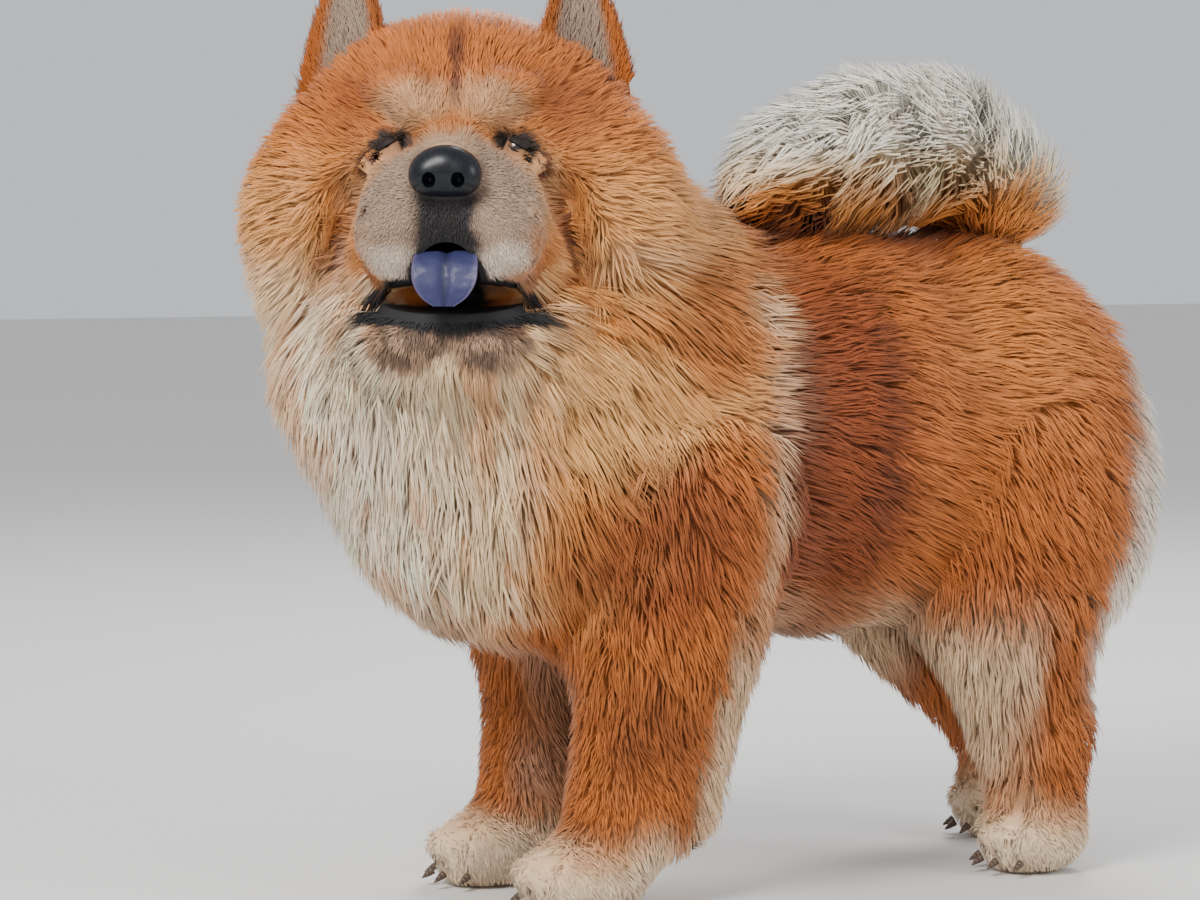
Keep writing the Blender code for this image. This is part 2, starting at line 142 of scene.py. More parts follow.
TORSO = [
    ball((0, 0.045, 0.335), (0.152, 0.165, 0.165)),
    ball((0, 0.19, 0.338), (0.146, 0.16, 0.162)),
    ball((0, 0.325, 0.363), (0.13, 0.13, 0.132)),
    ball((0, -0.055, 0.315), (0.142, 0.142, 0.138), coat=0.05),
]
NECK = [
    ball((-0.008, -0.038, 0.392), (0.162, 0.206, 0.152), coat=0.055),
    limb((0.0, 0.045, 0.445), (-0.02, -0.075, 0.505), 0.088, 0.098, coat=0.055),
]


def fore_leg(side):
    x, y = FORE_X * side, FORE_Y
    return [
        limb((x + 0.018 * side, y + 0.035, 0.3), (x + 0.01 * side, y + 0.025, 0.2), 0.09, 0.076),
        limb((x + 0.008 * side, y + 0.02, 0.2), (x, y, 0.075), 0.066, 0.045, blend=0.02, coat=0.02),
        limb((x + 0.004 * side, y + 0.05, 0.17), (x, y + 0.045, 0.072), 0.05, 0.038, wide=0.7),
        limb((x, y, 0.075), (x, y - 0.018, 0.035), 0.043, 0.036, blend=0.02, coat=0.012),
        ball((x, y - 0.045, 0.027), (0.041, 0.05, 0.032), blend=0.015, coat=0.006),
    ]


def hind_leg(side, back):
    x, y = HIND_X * side, HIND_Y + back
    thigh_y = HIND_Y + 0.3 * back
    return [
        ball((x, thigh_y - 0.015, 0.275), (0.078, 0.108, 0.125)),
        ball((x - 0.02 * side, thigh_y + 0.04, 0.3), (0.075, 0.082, 0.13), coat=0.05),
        limb((x + 0.008 * side, thigh_y - 0.03, 0.2), (x + 0.003 * side, y - 0.006, 0.11), 0.074, 0.05),
        limb(
            (x + 0.003 * side, y - 0.002, 0.11), (x, y + 0.004, 0.045), 0.046, 0.038, blend=0.02, coat=0.015
        ),
        ball((x, y - 0.004, 0.027), (0.04, 0.047, 0.031), blend=0.015, coat=0.006),
    ]


FORE_LEGS = [*fore_leg(1), *fore_leg(-1)]
HIND_LEGS = [*hind_leg(1, 0.0), *hind_leg(-1, FAR_HIND_BACK)]
TRUNK = TORSO + NECK + FORE_LEGS + HIND_LEGS
TAIL_LINE = [
    (0.0, 0.35, 0.47), (0.0, 0.352, 0.525), (0.005, 0.3, 0.557),
    (0.012, 0.235, 0.553), (0.02, 0.17, 0.535), (0.026, 0.128, 0.52),
]
TAIL_RADII = [0.048, 0.057, 0.06, 0.06, 0.05, 0.03]
TAIL_COAT = 0.05
TAIL = chain(TAIL_LINE, TAIL_RADII, wide=1.35, blend=0.02, coat=TAIL_COAT)
SKULL = [
    ball((0, 0.015, 0.035), (0.116, 0.085, 0.086), coat=0.02),
    *both(ball((0.082, 0.012, -0.035), (0.084, 0.072, 0.095), coat=0.022)),
    ball((0, 0.045, -0.045), (0.163, 0.095, 0.145), coat=0.055),
]
FACE = [
    ball((0, -0.066, -0.03), (0.065, 0.05, 0.052), blend=0.016, coat=0.004),
    *both(ball((0.034, -0.088, -0.043), (0.033, 0.033, 0.035), blend=0.01, coat=0.003)),
    limb((0, -0.05, 0.008), (0, -0.106, 0.004), 0.025, 0.02, blend=0.015, coat=0.003),
    *both(limb((0.012, -0.066, 0.037), (0.028, -0.07, 0.046), 0.013, 0.0135, blend=0.012, coat=0.006)),
    *both(limb((0.03, -0.063, 0.06), (0.05, -0.056, 0.058), 0.0125, 0.011, blend=0.012, coat=0.006)),
    *both(limb((0.032, -0.064, 0.029), (0.06, -0.054, 0.014), 0.0075, 0.007, blend=0.006, coat=0.004)),
    *both(limb((0.034, -0.064, 0.011), (0.057, -0.056, 0.001), 0.007, 0.006, blend=0.006, coat=0.004)),
    *both(limb((0.046, -0.066, 0.0), (0.06, -0.056, -0.045), 0.014, 0.016, blend=0.01, coat=0.006)),
    ball((0, -0.058, -0.104), (0.056, 0.046, 0.024), blend=0.01, coat=0.004),
    *both(ball((0.027, -0.084, -0.116), (0.027, 0.022, 0.018), blend=0.005, coat=0.004)),
]
HOLLOWS = [
    *chain([(0, -0.088, 0.033), (0, -0.083, 0.058), (0, -0.066, 0.086)], [0.004, 0.005, 0.005], blend=0.01),
    *both(limb((0.04, -0.074, 0.03), (0.034, -0.084, 0.045), 0.003, 0.003, blend=0.006)),
    *both(limb((0.034, -0.084, 0.045), (0.023, -0.086, 0.054), 0.003, 0.003, blend=0.006)),
    *both(limb((0.034, -0.068, 0.024), (0.045, -0.066, 0.017), 0.0045, 0.005, blend=0.005)),
    *both(limb((0.045, -0.066, 0.017), (0.058, -0.058, 0.007), 0.005, 0.004, blend=0.006)),
    *both(limb((0.058, -0.06, 0.007), (0.074, -0.056, -0.019), 0.005, 0.006, blend=0.012)),
    *both(limb((0.074, -0.056, -0.019), (0.09, -0.052, -0.062), 0.006, 0.006, blend=0.014)),
    *both(limb((0.046, -0.096, -0.006), (0.054, -0.098, -0.03), 0.003, 0.003, blend=0.006)),
    *both(limb((0.054, -0.098, -0.03), (0.054, -0.094, -0.058), 0.003, 0.003, blend=0.006)),
    limb((0, -0.123, -0.02), (0, -0.121, -0.05), 0.003, 0.003, blend=0.004),
]
MOUTH = [
    ball((0, -0.088, -0.0865), (0.056, 0.052, 0.012)),
    ball((0, -0.092, -0.069), (0.023, 0.046, 0.023)),
]
EYE = ball((0.044, -0.056, 0.0168), (0.0105, 0.0105, 0.0105))
EYE_LINE = limb((0.033, -0.066, 0.0235), (0.057, -0.057, 0.0085), 0.003, 0.0025)
# lines along the face's creases, where painted shade falls
CREASES = [
    limb((0.058, -0.06, 0.006), (0.074, -0.056, -0.019), 0.002, 0.003),
    limb((0.074, -0.056, -0.019), (0.09, -0.052, -0.062), 0.003, 0.003),
]
NOSE = [
    ball((0, -0.1165, 0.001), (0.0235, 0.015, 0.018), coat=0.0),
    *both(ball((0.013, -0.1185, -0.003), (0.0115, 0.0115, 0.0125), blend=0.006, coat=0.0)),
]
TOE_GROOVES = [
    limb((x + o, y + 0.006, 0.0), (x + 0.8 * o, y + 0.036, 0.058), 0.0045, 0.003, blend=0.01)
    for x, y in (
        (FORE_X, FORE_Y - 0.099), (-FORE_X, FORE_Y - 0.099),
        (HIND_X, HIND_Y - 0.055), (-HIND_X, HIND_Y + FAR_HIND_BACK - 0.055),
    )
    for o in (-0.019, 0.0, 0.019)
]
TOE_REACH = 0.09
FACE_HALF = 0.15  # the face's forms are looked at only this near the head's origin
FACE_REACH = 0.016  # how far outside the face's forms their short coat rules
SKULL_BLEND = 0.03
TAIL_BLEND = 0.008
COAT_BLEND = 0.008
CORE_SHARE = 0.55  # the skin lies this share of the coat's depth inside its surface


def hollowed(d, forms, p):
    """The distances with the forms taken out of what they measure."""
    for form in forms:
        d = -smooth_min(-d, distance(form, p), form.blend)
    return d


def outline(p):
    """The surface that the coat's tips reach, everywhere but on the tail and the ears."""
    q = to_head(p)
    d = smooth_min(blended(TRUNK, p), blended(SKULL, q), SKULL_BLEND)
    near = (np.abs(q) < FACE_HALF).all(1)
    e, q = d[near], q[near]
    for form in FACE:
        e = smooth_min(e, distance(form, q), form.blend)
    d[near] = hollowed(e, HOLLOWS, q)
    feet = p[:, 2] < TOE_REACH
    d[feet] = hollowed(d[feet], TOE_GROOVES, p[feet])
    return d


def coat_depth(p):
    """How deep the coat is at each point, each form's share falling off with distance."""
    q = to_head(p)
    d = [distance(form, p) for form in TRUNK] + [distance(form, q) for form in SKULL]
    d = np.array(d + [distance(form, q) - FACE_REACH for form in FACE])
    coats = np.array([form.coat for form in TRUNK + SKULL + FACE])
    weight = np.exp((d.min(0) - d) / COAT_BLEND)
    return coats @ weight / weight.sum(0)


def tail_outline(p):
    return blended(TAIL, p)


def body_skin(p):
    """The skin's level under the coat, tail included."""
    body = outline(p) + CORE_SHARE * coat_depth(p)
    return smooth_min(body, tail_outline(p) + CORE_SHARE * TAIL_COAT, TAIL_BLEND)


def unit(v):
    return v / np.maximum(np.linalg.norm(v, axis=1), 1e-9)[:, None]


def slope_of(field, p, probe=0.0005):
    """The field's slope at each point, not made unit."""
    here = field(p)
    return np.stack([(field(p + probe * e) - here) / probe for e in np.eye(3)], -1)


LEAST_STEEP = 0.2


def settled(points, field, rounds=3, reach=0.05):
    """The points moved on to the field's surface along its slope."""
    for _ in range(rounds):
        here = field(points)
        slope = slope_of(field, points, 0.0003)
        steep = np.maximum((slope**2).sum(1), LEAST_STEEP)
        points = points - slope * (np.clip(here, -reach, reach) / steep)[:, None]
    return points


# ---- where things are
# every object is made in the forms' frame and moved at the end, so that its eyes meet the CAD's
low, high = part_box("eye_left")
SHIFT = (low + high) / 2 - HEAD_FRAME @ Vector(EYE.a)


def new_object(name, data):
    obj = bpy.data.objects.new(name, data)
    bpy.context.scene.collection.objects.link(obj)
    return obj


def from_bmesh(name, bm):
    mesh = bpy.data.meshes.new(name)
    bm.to_mesh(mesh)
    bm.free()
    return new_object(name, mesh)


def from_arrays(name, points, faces):
    """A mesh object from an array of points and one of triangles or quads."""
    mesh = bpy.data.meshes.new(name)
    sides = faces.shape[1]
    mesh.vertices.add(len(points))
    mesh.vertices.foreach_set("co", points.astype(np.float32).ravel())
    mesh.loops.add(faces.size)
    mesh.loops.foreach_set("vertex_index", faces.astype(np.int32).ravel())
    mesh.polygons.add(len(faces))
    mesh.polygons.foreach_set("loop_start", np.arange(0, faces.size, sides, dtype=np.int32))
    mesh.update(calc_edges=True)
    return new_object(name, mesh)


def applied(obj):
    """The object with its modifiers made part of its mesh."""
    bpy.context.view_layer.update()
    graph = bpy.context.evaluated_depsgraph_get()
    mesh = bpy.data.meshes.new_from_object(obj.evaluated_get(graph))
    obj.modifiers.clear()
    obj.data = mesh
    return obj


def smoothed(obj, rounds, factor=0.5):
    smooth = obj.modifiers.new("Smooth", "SMOOTH")
    smooth.iterations = rounds
    smooth.factor = factor
    return applied(obj)


def remeshed(obj, voxel):
    remesh = obj.modifiers.new("Remesh", "REMESH")
    remesh.mode = "VOXEL"
    remesh.voxel_size = voxel
    return applied(obj)


UNION_STEP = 0.3
THINNEST = 0.008


def rough_union(name, groups, voxel):
    """Spheres along every form of the groups (forms, frame), remeshed into one closed skin."""
    bm = bmesh.new()
    for form, place in [(form, place) for forms, place in groups for form in forms]:
        a, coat = Vector(form.a), form.coat * CORE_SHARE
        if form.b is None:
            stretch = Matrix.Diagonal((*(r - coat for r in form.ra), 1.0))
            matrix = place @ Matrix.Translation(a) @ stretch
            bmesh.ops.create_icosphere(bm, subdivisions=4, radius=1.0, matrix=matrix)
            continue
        b = Vector(form.b)
        steps = max(1, math.ceil((b - a).length / (UNION_STEP * min(form.ra, form.rb))))
        for i in range(steps + 1):
            t = i / steps
            r = max(form.ra + t * (form.rb - form.ra) - coat, THINNEST)
            stretch = Matrix.Diagonal((r * form.wide, r, r, 1.0))
            matrix = place @ Matrix.Translation(a.lerp(b, t)) @ stretch
            bmesh.ops.create_icosphere(bm, subdivisions=3, radius=1.0, matrix=matrix)
    return remeshed(from_bmesh(name, bm), voxel)


def rows_of(items, key, width, kind):
    """One field of all of a mesh's items, a row for each."""
    values = np.empty(len(items) * width, kind)
    items.foreach_get(key, values)
    return values.reshape(-1, width)


def corners_of(obj):
    return rows_of(obj.data.vertices, "co", 3, np.float32).astype(float)


def set_corners(obj, points):
    obj.data.vertices.foreach_set("co", points.astype(np.float32).ravel())
    obj.data.update()


# ---- noise and markings
def noise(p, size, seed=0):
    """Smooth value noise from -1 to 1, its lumps about so big."""
    x = p / size + seed * 17.31
    cell = np.floor(x).astype(np.int64)
    f = x - cell
    f = f * f * (3 - 2 * f)
    total = np.zeros(len(p))
    for corner in range(8):
        at = np.array([corner & 1, corner >> 1 & 1, corner >> 2 & 1])
        i = cell + at
        h = (i[:, 0] * 73856093) ^ (i[:, 1] * 19349663) ^ (i[:, 2] * 83492791) ^ (seed * 2654435)
        h = (h * 1103515245 + 12345) & 0x7FFFFFFF
        h = (h ^ (h >> 13)) * 60493 & 0x7FFFFFFF
        weight = np.prod(np.where(at == 1, f, 1 - f), axis=1)
        total += weight * (h / 0x3FFFFFFF - 1.0)
    return total


def soft(x, a, b):
    """0 before a, 1 after b, smooth between them."""
    t = np.clip((x - a) / (b - a), 0.0, 1.0)
    return t * t * (3 - 2 * t)


def fade(x, a, b):
    """1 before a, 0 after b, smooth between them."""
    return 1 - soft(x, a, b)


def near_ball(p, centre, radii, edge=0.35):
    """1 in the ellipsoid, falling to 0 a share of its size outside it."""
    k = np.linalg.norm((p - np.array(centre)) / np.array(radii), axis=1)
    return fade(k, 1.0 - edge, 1.0 + edge)


RUST = (0.5, 0.135, 0.02)
DEEP = (0.25, 0.052, 0.009)
DARK = (0.105, 0.026, 0.008)
ORANGE = (0.72, 0.27, 0.055)
GOLD = (0.84, 0.46, 0.17)
CREAM = (0.95, 0.68, 0.41)
WHITE = (0.98, 0.87, 0.72)
BUFF = (0.62, 0.38, 0.2)
GREY = (0.34, 0.245, 0.175)
SOOT = (0.03, 0.021, 0.018)
LIP = (0.01, 0.009, 0.011)


def mixed(base, colour, share):
    return base + (np.array(colour) - base) * np.clip(share, 0, 1)[:, None]


def layered(c, *marks):
    """The colours with each mark's colour laid over them by its share."""
    for colour, share in marks:
        c = mixed(c, colour, share)
    return c


def tiled(colour, count, share=1.0):
    """One colour, or a darker share of it, for each of so many points."""
    return np.tile(np.array(colour) * share, (count, 1))


def folded(q):
    """The points of the head's frame mirrored on to its left half."""
    return np.concatenate([np.abs(q[:, :1]), q[:, 1:]], 1)


def body_colour(p):
    """The markings of trunk, mane and legs, with painted shade in the flank's folds: each region a colour
    with a soft, ragged edge.
    """
    w = p + 0.012 * np.stack([noise(p, 0.035, s) for s in (1, 2, 3)], -1)
    x, y, z = w.T
    side = np.abs(x)
    v = folded(w)
    low_side, low_front = fade(z, 0.44, 0.5), fade(y, 0.27, 0.34)
    c = tiled(RUST, len(p))
    # the flank's dark part with painted shade down its two folds, the haunch, the back and the groin
    c = mixed(c, DEEP, 0.95 * near_ball(v, (0.14, 0.135, 0.34), (0.11, 0.06, 0.17), 0.45))
    # painted shade: a dark line down each of the flank's two folds
    for fold, slant in ((0.1, 0.03), (0.168, 0.1)):
        line = np.exp(-(((y - fold - slant * (z - 0.35)) / 0.011) ** 2)) * soft(side, 0.05, 0.1)
        c = mixed(c, DARK, 0.55 * line * soft(z, 0.24, 0.32) * low_side)
    around = np.linalg.norm((w - np.array([0.0, -0.02, 0.44])) * np.array([1.0, 1.0, 0.9]), axis=1)
    mane = near_ball(w, (-0.008, -0.045, 0.4), (0.19, 0.165, 0.2), 0.16)
    band = 0.5 + 0.5 * np.sin(around * 2 * np.pi / 0.052 + 1.5 * noise(p, 0.05, 5))
    edge = np.exp(-(((y - 0.078 - 0.06 * (z - 0.35)) / 0.014) ** 2)) * soft(z, 0.2, 0.26)
    streaks = noise(p * np.array([1, 1, 0.25]), 0.016, 7) > 0.25
    leg = fade(z, 0.17, 0.24)
    fore = leg * fade(y, 0.1, 0.16)
    hind = leg * soft(y, 0.16, 0.22)
    rear = soft(y + 0.22 * (0.36 - z), 0.395, 0.435) * soft(z, 0.12, 0.18)
    inner = fade(side, 0.02, 0.055) * fade(z, 0.2, 0.26)
    return layered(
        c,
        (ORANGE, 0.4 * near_ball(v, (0.1, 0.31, 0.42), (0.09, 0.07, 0.07), 0.6)),
        (DEEP, 0.55 * near_ball(v, (0.1, 0.3, 0.22), (0.06, 0.07, 0.07), 0.6)),
        (DARK, 0.25 * soft(z, 0.43, 0.5) * soft(y, 0.04, 0.12)),
        (GREY, 0.55 * fade(z, 0.16, 0.24) * soft(y, 0.06, 0.12) * low_front),
        # the mane: bands of cream and orange that run round the neck
        (ORANGE, 0.85 * mane),
        (GOLD, 0.75 * mane * band),
        (DEEP, 0.55 * mane * (1 - band) * soft(y, -0.1, 0.02)),
        (DEEP, 0.75 * near_ball(v, (0.13, -0.015, 0.285), (0.08, 0.06, 0.065), 0.4)),
        (CREAM, 0.65 * edge * low_side * (0.75 + 0.5 * noise(p, 0.02, 8))),
        # bib and breast
        (CREAM, 0.9 * fade(y + 0.25 * side, -0.115, -0.045) * fade(z, 0.44, 0.52)),
        (WHITE, 0.55 * near_ball(w, (0.02, -0.2, 0.33), (0.08, 0.07, 0.12), 0.5)),
        (ORANGE, 0.45 * streaks * fade(y, -0.13, -0.05)),
        # legs
        (RUST, fore),
        (DARK, 0.7 * fore * near_ball(w, (0.1, -0.005, 0.155), (0.035, 0.035, 0.055), 0.5)),
        (CREAM, 0.75 * fore * soft(y, 0.035, 0.06)),
        (GREY, 0.25 * fore * soft(y, 0.035, 0.06) * (noise(p, 0.012, 9) > 0.1)),
        (CREAM, 0.7 * hind * fade(y, 0.285, 0.325)),
        (DARK, 0.65 * hind * soft(y, 0.365, 0.4) * fade(z, 0.13, 0.2) * (x > 0)),
        (CREAM, 0.8 * fade(z, 0.035, 0.075)),
        (WHITE, 0.35 * fade(z, 0.02, 0.05)),
        # breeches, down the back of the thighs
        (WHITE, 0.85 * rear),
        (GREY, 0.5 * inner),
    )


def head_colour(q):
    """The head's markings, with painted shade in the furrow, creases and eye slits and painted highlights
    on the rolls, in its own frame.
    """
    w = q + 0.004 * np.stack([noise(q, 0.014, s) for s in (11, 12, 13)], -1)
    left, v = folded(q), folded(w)
    x, _, z = v.T
    c = tiled((np.array(ORANGE) + np.array(RUST)) / 2, len(q))
    muzzle = near_ball(w, (0, -0.1, -0.03), (0.066, 0.055, 0.06), 0.16)
    # slit: where the painted shade of the sunk eye slits falls; lid: the black rims next to the eyeballs
    slit = fade(distance(EYE_LINE, left), 0.0035, 0.0095)
    lid = fade(distance(EYE, left), 0.0015, 0.0045)
    crease = np.minimum(*[distance(form, left) for form in CREASES])
    chin = near_ball(w, (0, -0.085, -0.118), (0.062, 0.04, 0.024), 0.3)
    return layered(
        c,
        (RUST, 0.9 * soft(z, 0.01, 0.06)),
        # painted shade in the furrow and above the eyes, the pale cheeks, and painted highlights on the
        # brow rolls and the rolls below the eyes
        # painted shade down the furrow of the forehead
        (DARK, 0.85 * fade(x, 0.002, 0.008) * soft(z, 0.036, 0.046) * fade(z, 0.085, 0.12)),
        # painted shade above and beside the eyes
        (DEEP, 0.5 * near_ball(v, (0.072, -0.04, 0.045), (0.022, 0.04, 0.022), 0.6)),
        (GOLD, 0.45 * soft(x, 0.075, 0.105) * fade(z, -0.02, 0.03)),
        (CREAM, 0.7 * soft(x, 0.055, 0.09) * fade(z, -0.085, -0.035)),
        (CREAM, 0.55 * fade(z, -0.15, -0.105)),
        # painted highlights: paler on the raised brow rolls and the cheek rolls below the eyes
        (BUFF, 0.65 * near_ball(v, (0.028, -0.075, 0.048), (0.026, 0.03, 0.016), 0.5)),
        (BUFF, 0.6 * near_ball(v, (0.058, -0.07, -0.012), (0.02, 0.03, 0.03), 0.5)),
        # the grey muzzle with its black middle and white lips
        (GREY, 0.92 * muzzle),
        (SOOT, 0.75 * muzzle * fade(x, 0.014, 0.03) * fade(z, 0.0, 0.03)),
        (LIP, 0.93 * muzzle * fade(x, 0.015, 0.023) * fade(z, -0.016, -0.004)),
        (BUFF, 0.5 * muzzle * soft(z, 0.004, 0.022) * fade(x, 0.014, 0.034)),
        (WHITE, 0.5 * muzzle * near_ball(v, (0.04, -0.11, -0.062), (0.022, 0.03, 0.013), 0.5)),
        # the eyes' black rims and the painted shade of their slits, the painted shade in the creases that
        # run down from them, the chin and the mouth
        # black rims round the eyes, with painted shade in the sunk slits around them
        (SOOT, 0.97 * np.maximum(slit, lid)),
        # painted shade in the creases that run down from the eyes
        (DARK, 0.8 * fade(crease, 0.002, 0.009)),
        (GREY, 0.8 * chin),
        (SOOT, 0.55 * chin * (noise(q, 0.007, 15) > 0.1)),
        (LIP, 0.92 * near_ball(w, (0, -0.095, -0.094), (0.06, 0.055, 0.0165), 0.25)),
    )


def lip_share(q):
    """How far the black of the lips and the mouth's inside covers each point."""
    gape = np.minimum(distance(MOUTH[0], q), distance(MOUTH[1], q))
    reach = 0.004 + 0.004 * fade(q[:, 2], -0.096, -0.088)
    return fade(gape, reach, reach + 0.003) * fade(q[:, 1], -0.01, 0.0)


def tail_colour(p):
    """White along the top and the rear edge, through cream and tan to orange-brown below."""
    w = p + 0.01 * np.stack([noise(p, 0.03, s) for s in (21, 22, 23)], -1)
    height = w[:, 2] + 0.1 * (w[:, 1] - 0.25)
    c = tiled(RUST, len(p))
    return layered(
        c,
        (ORANGE, soft(height, 0.475, 0.505)),
        (CREAM, soft(height, 0.5, 0.54)),
        (WHITE, soft(height, 0.532, 0.565)),
        (WHITE, 0.8 * soft(w[:, 1], 0.365, 0.4)),
    )


def markings_and_shade(p):
    """The coat's colour at each point, painted shade and highlights included."""
    q = to_head(p)
    body = outline(p)
    tail = tail_outline(p)
    head = blended(SKULL + FACE, q) - blended(TRUNK, p)
    c = body_colour(p)
    face = fade(blended(FACE, q), 0.0, 0.006) * (q[:, 1] < -0.05)
    share = np.maximum(fade(head, -0.012, 0.012), face)
    c = c + (head_colour(q) - c) * share[:, None]
    c = mixed(c, LIP, lip_share(q))
    share = fade(tail - body, -0.004, 0.004)
    return c + (tail_colour(p) - c) * share[:, None]


# ---- the skin
FACE_BOX = (np.array([-0.105, -0.16, -0.135]), np.array([0.105, -0.02, 0.095]))
SKIN_VOXEL = 0.0055
FLOOR_GAP = 0.0004


def in_face(q):
    return (q > FACE_BOX[0]).all(1) & (q < FACE_BOX[1]).all(1)


def fine_face(obj):
    """Splits the face's faces in four, twice."""
    for _ in range(2):
        bm = bmesh.new()
        bm.from_mesh(obj.data)
        centres = np.array([f.calc_center_median() for f in bm.faces])
        inside = in_face(to_head(centres))
        edges = {e for f, chosen in zip(bm.faces, inside) if chosen for e in f.edges}
        bmesh.ops.subdivide_edges(bm, edges=list(edges), cuts=1, use_grid_fill=True)
        bmesh.ops.triangulate(bm, faces=[f for f in bm.faces if len(f.verts) > 4])
        bm.to_mesh(obj.data)
        bm.free()


def make_skin():
    obj = rough_union("skin", [(TRUNK + TAIL, Matrix()), (SKULL + FACE, HEAD_FRAME)], SKIN_VOXEL)
    smoothed(obj, 2)
    set_corners(obj, settled(corners_of(obj), body_skin, 3))
    fine_face(obj)
    points = corners_of(obj)
    face = in_face(to_head(points))
    points[face] = settled(points[face], body_skin, 4, 0.01)
    set_corners(obj, points)
    smoothed(obj, 1, 0.4)
    for form in MOUTH:
        cut_ball(obj, form, 28)
    points = corners_of(obj)
    points[:, 2] = np.maximum(points[:, 2], FLOOR_GAP)
    set_corners(obj, points)
    return obj


MARKINGS = "Markings"


def cut_ball(obj, form, rings):
    """Cuts one of the head's balls out of the object."""
    bm = bmesh.new()
    stretch = Matrix.Diagonal((*form.ra, 1.0))
    matrix = HEAD_FRAME @ Matrix.Translation(form.a) @ stretch
    bmesh.ops.create_uvsphere(bm, u_segments=2 * rings, v_segments=rings, radius=1.0, matrix=matrix)
    cutter = from_bmesh("ball", bm)
    boolean = obj.modifiers.new("Boolean", "BOOLEAN")
    boolean.operation = "DIFFERENCE"
    boolean.object = cutter
    boolean.solver = "MANIFOLD"
    applied(obj)
    bpy.data.objects.remove(cutter)


def paint_points(obj, colours):
    """Stores one colour for each vertex."""
    layer = obj.data.attributes.new(MARKINGS, "FLOAT_COLOR", "POINT")
    rgba = np.ones((len(colours), 4), np.float32)
    rgba[:, :3] = colours
    layer.data.foreach_set("color", rgba.ravel())


# ---- the unwrap for the coat's patches
THINNED = 0.06
ISLAND_MARGIN = 0.004


def unwrapped(obj):
    """A thinned copy of the skin with an unwrap of its own shape: its tree and each face's UVs."""
    copy = new_object("unwrap", obj.data.copy())
    thin = copy.modifiers.new("Decimate", "DECIMATE")
    thin.ratio = THINNED
    thin.use_collapse_triangulate = True
    applied(copy)
    bpy.context.view_layer.objects.active = copy
    for other in bpy.context.scene.objects:
        other.select_set(other is copy)
    bpy.ops.object.mode_set(mode="EDIT")
    bpy.ops.mesh.select_all(action="SELECT")
    bpy.ops.uv.smart_project(angle_limit=math.radians(60), island_margin=ISLAND_MARGIN)
    bpy.ops.object.mode_set(mode="OBJECT")
    mesh = copy.data
    points = corners_of(copy)
    faces = rows_of(mesh.loops, "vertex_index", 1, np.int32).reshape(-1, 3)
    uv = rows_of(mesh.uv_layers.active.data, "uv", 2, np.float32).reshape(-1, 3, 2)
    tree = BVHTree.FromPolygons(points.tolist(), faces.tolist())
    bpy.data.objects.remove(copy)
    return tree, points, faces, uv


def unwrap_places(roots, unwrap):
    """Each root's place on the unwrap."""
    tree, points, faces, uv = unwrap
    hits = [tree.find_nearest(Vector(p)) for p in roots]
    at = np.array([h[0] for h in hits])
    face = np.array([h[2] for h in hits])
    a, b, c = (points[faces[face, i]] for i in range(3))
    normal = np.cross(b - a, c - a)
    area = np.maximum((normal**2).sum(1), 1e-18)
    wa = (np.cross(b - at, c - at) * normal).sum(1) / area
    wb = (np.cross(c - at, a - at) * normal).sum(1) / area
    weight = np.clip(np.stack([wa, wb, 1 - wa - wb], -1), 0, 1)
    return (uv[face] * weight[:, :, None]).sum(1)


# ---- which way the hair lies
def lie(p, label):
    """The direction of the hair at each point, for each part's label."""
    q = to_head(p)
    out = np.tile([0.0, 0.3, -1.0], (len(p), 1))
    front = np.clip((0.08 - p[:, 1]) / 0.18, 0, 1)[:, None]
    rump = np.clip((p[:, 1] - 0.32) / 0.12, 0, 1)[:, None]
    body = np.array([0.0, 0.95, -0.4]) + front * np.array([0.0, -0.75, -0.6])
    body = body + rump * np.array([0.0, -0.45, -0.5])
    mane = 0.6 * unit(p - np.array(HEAD_AT)) + np.array([0.0, 0.35, -0.75])
    away = unit(np.stack([q[:, 0], 0 * q[:, 0], q[:, 2] + 0.01], -1))
    head = (0.65 * away + np.array([0.0, 0.75, -0.25])) @ HEAD_TURN.T
    from_nose = unit(q - np.array([0.0, -0.128, 0.006]))
    face = (from_nose + np.array([0.0, 0.15, -0.12])) @ HEAD_TURN.T
    line = np.array(TAIL_LINE)
    middle, along = (line[1:] + line[:-1]) / 2, unit(line[1:] - line[:-1])
    near = np.linalg.norm(p[:, None] - middle, axis=2).argmin(1)
    tail = along[near] + 0.45 * unit(p - middle[near])
    short = fade(q[:, 1], -0.06, -0.015)
    head = head + (face - head) * short[:, None]
    for name, way in (("body", body), ("mane", mane), ("head", head), ("tail", tail)):
        chosen = label == LABELS.index(name)
        out[chosen] = way[chosen]
    return out


LABELS = ["body", "mane", "head", "fore_legs", "hind_legs", "tail"]
LABEL_FORMS = [TORSO, NECK, None, FORE_LEGS, HIND_LEGS, TAIL]
HEAD_LEAD = 0.012  # the head's coat reaches this far past the mane's


def labels(p):
    """Which part of the dog each point belongs to."""
    q = to_head(p)
    head = blended(SKULL + FACE, q) - HEAD_LEAD
    return np.argmin([head if forms is None else blended(forms, p) for forms in LABEL_FORMS], axis=0)


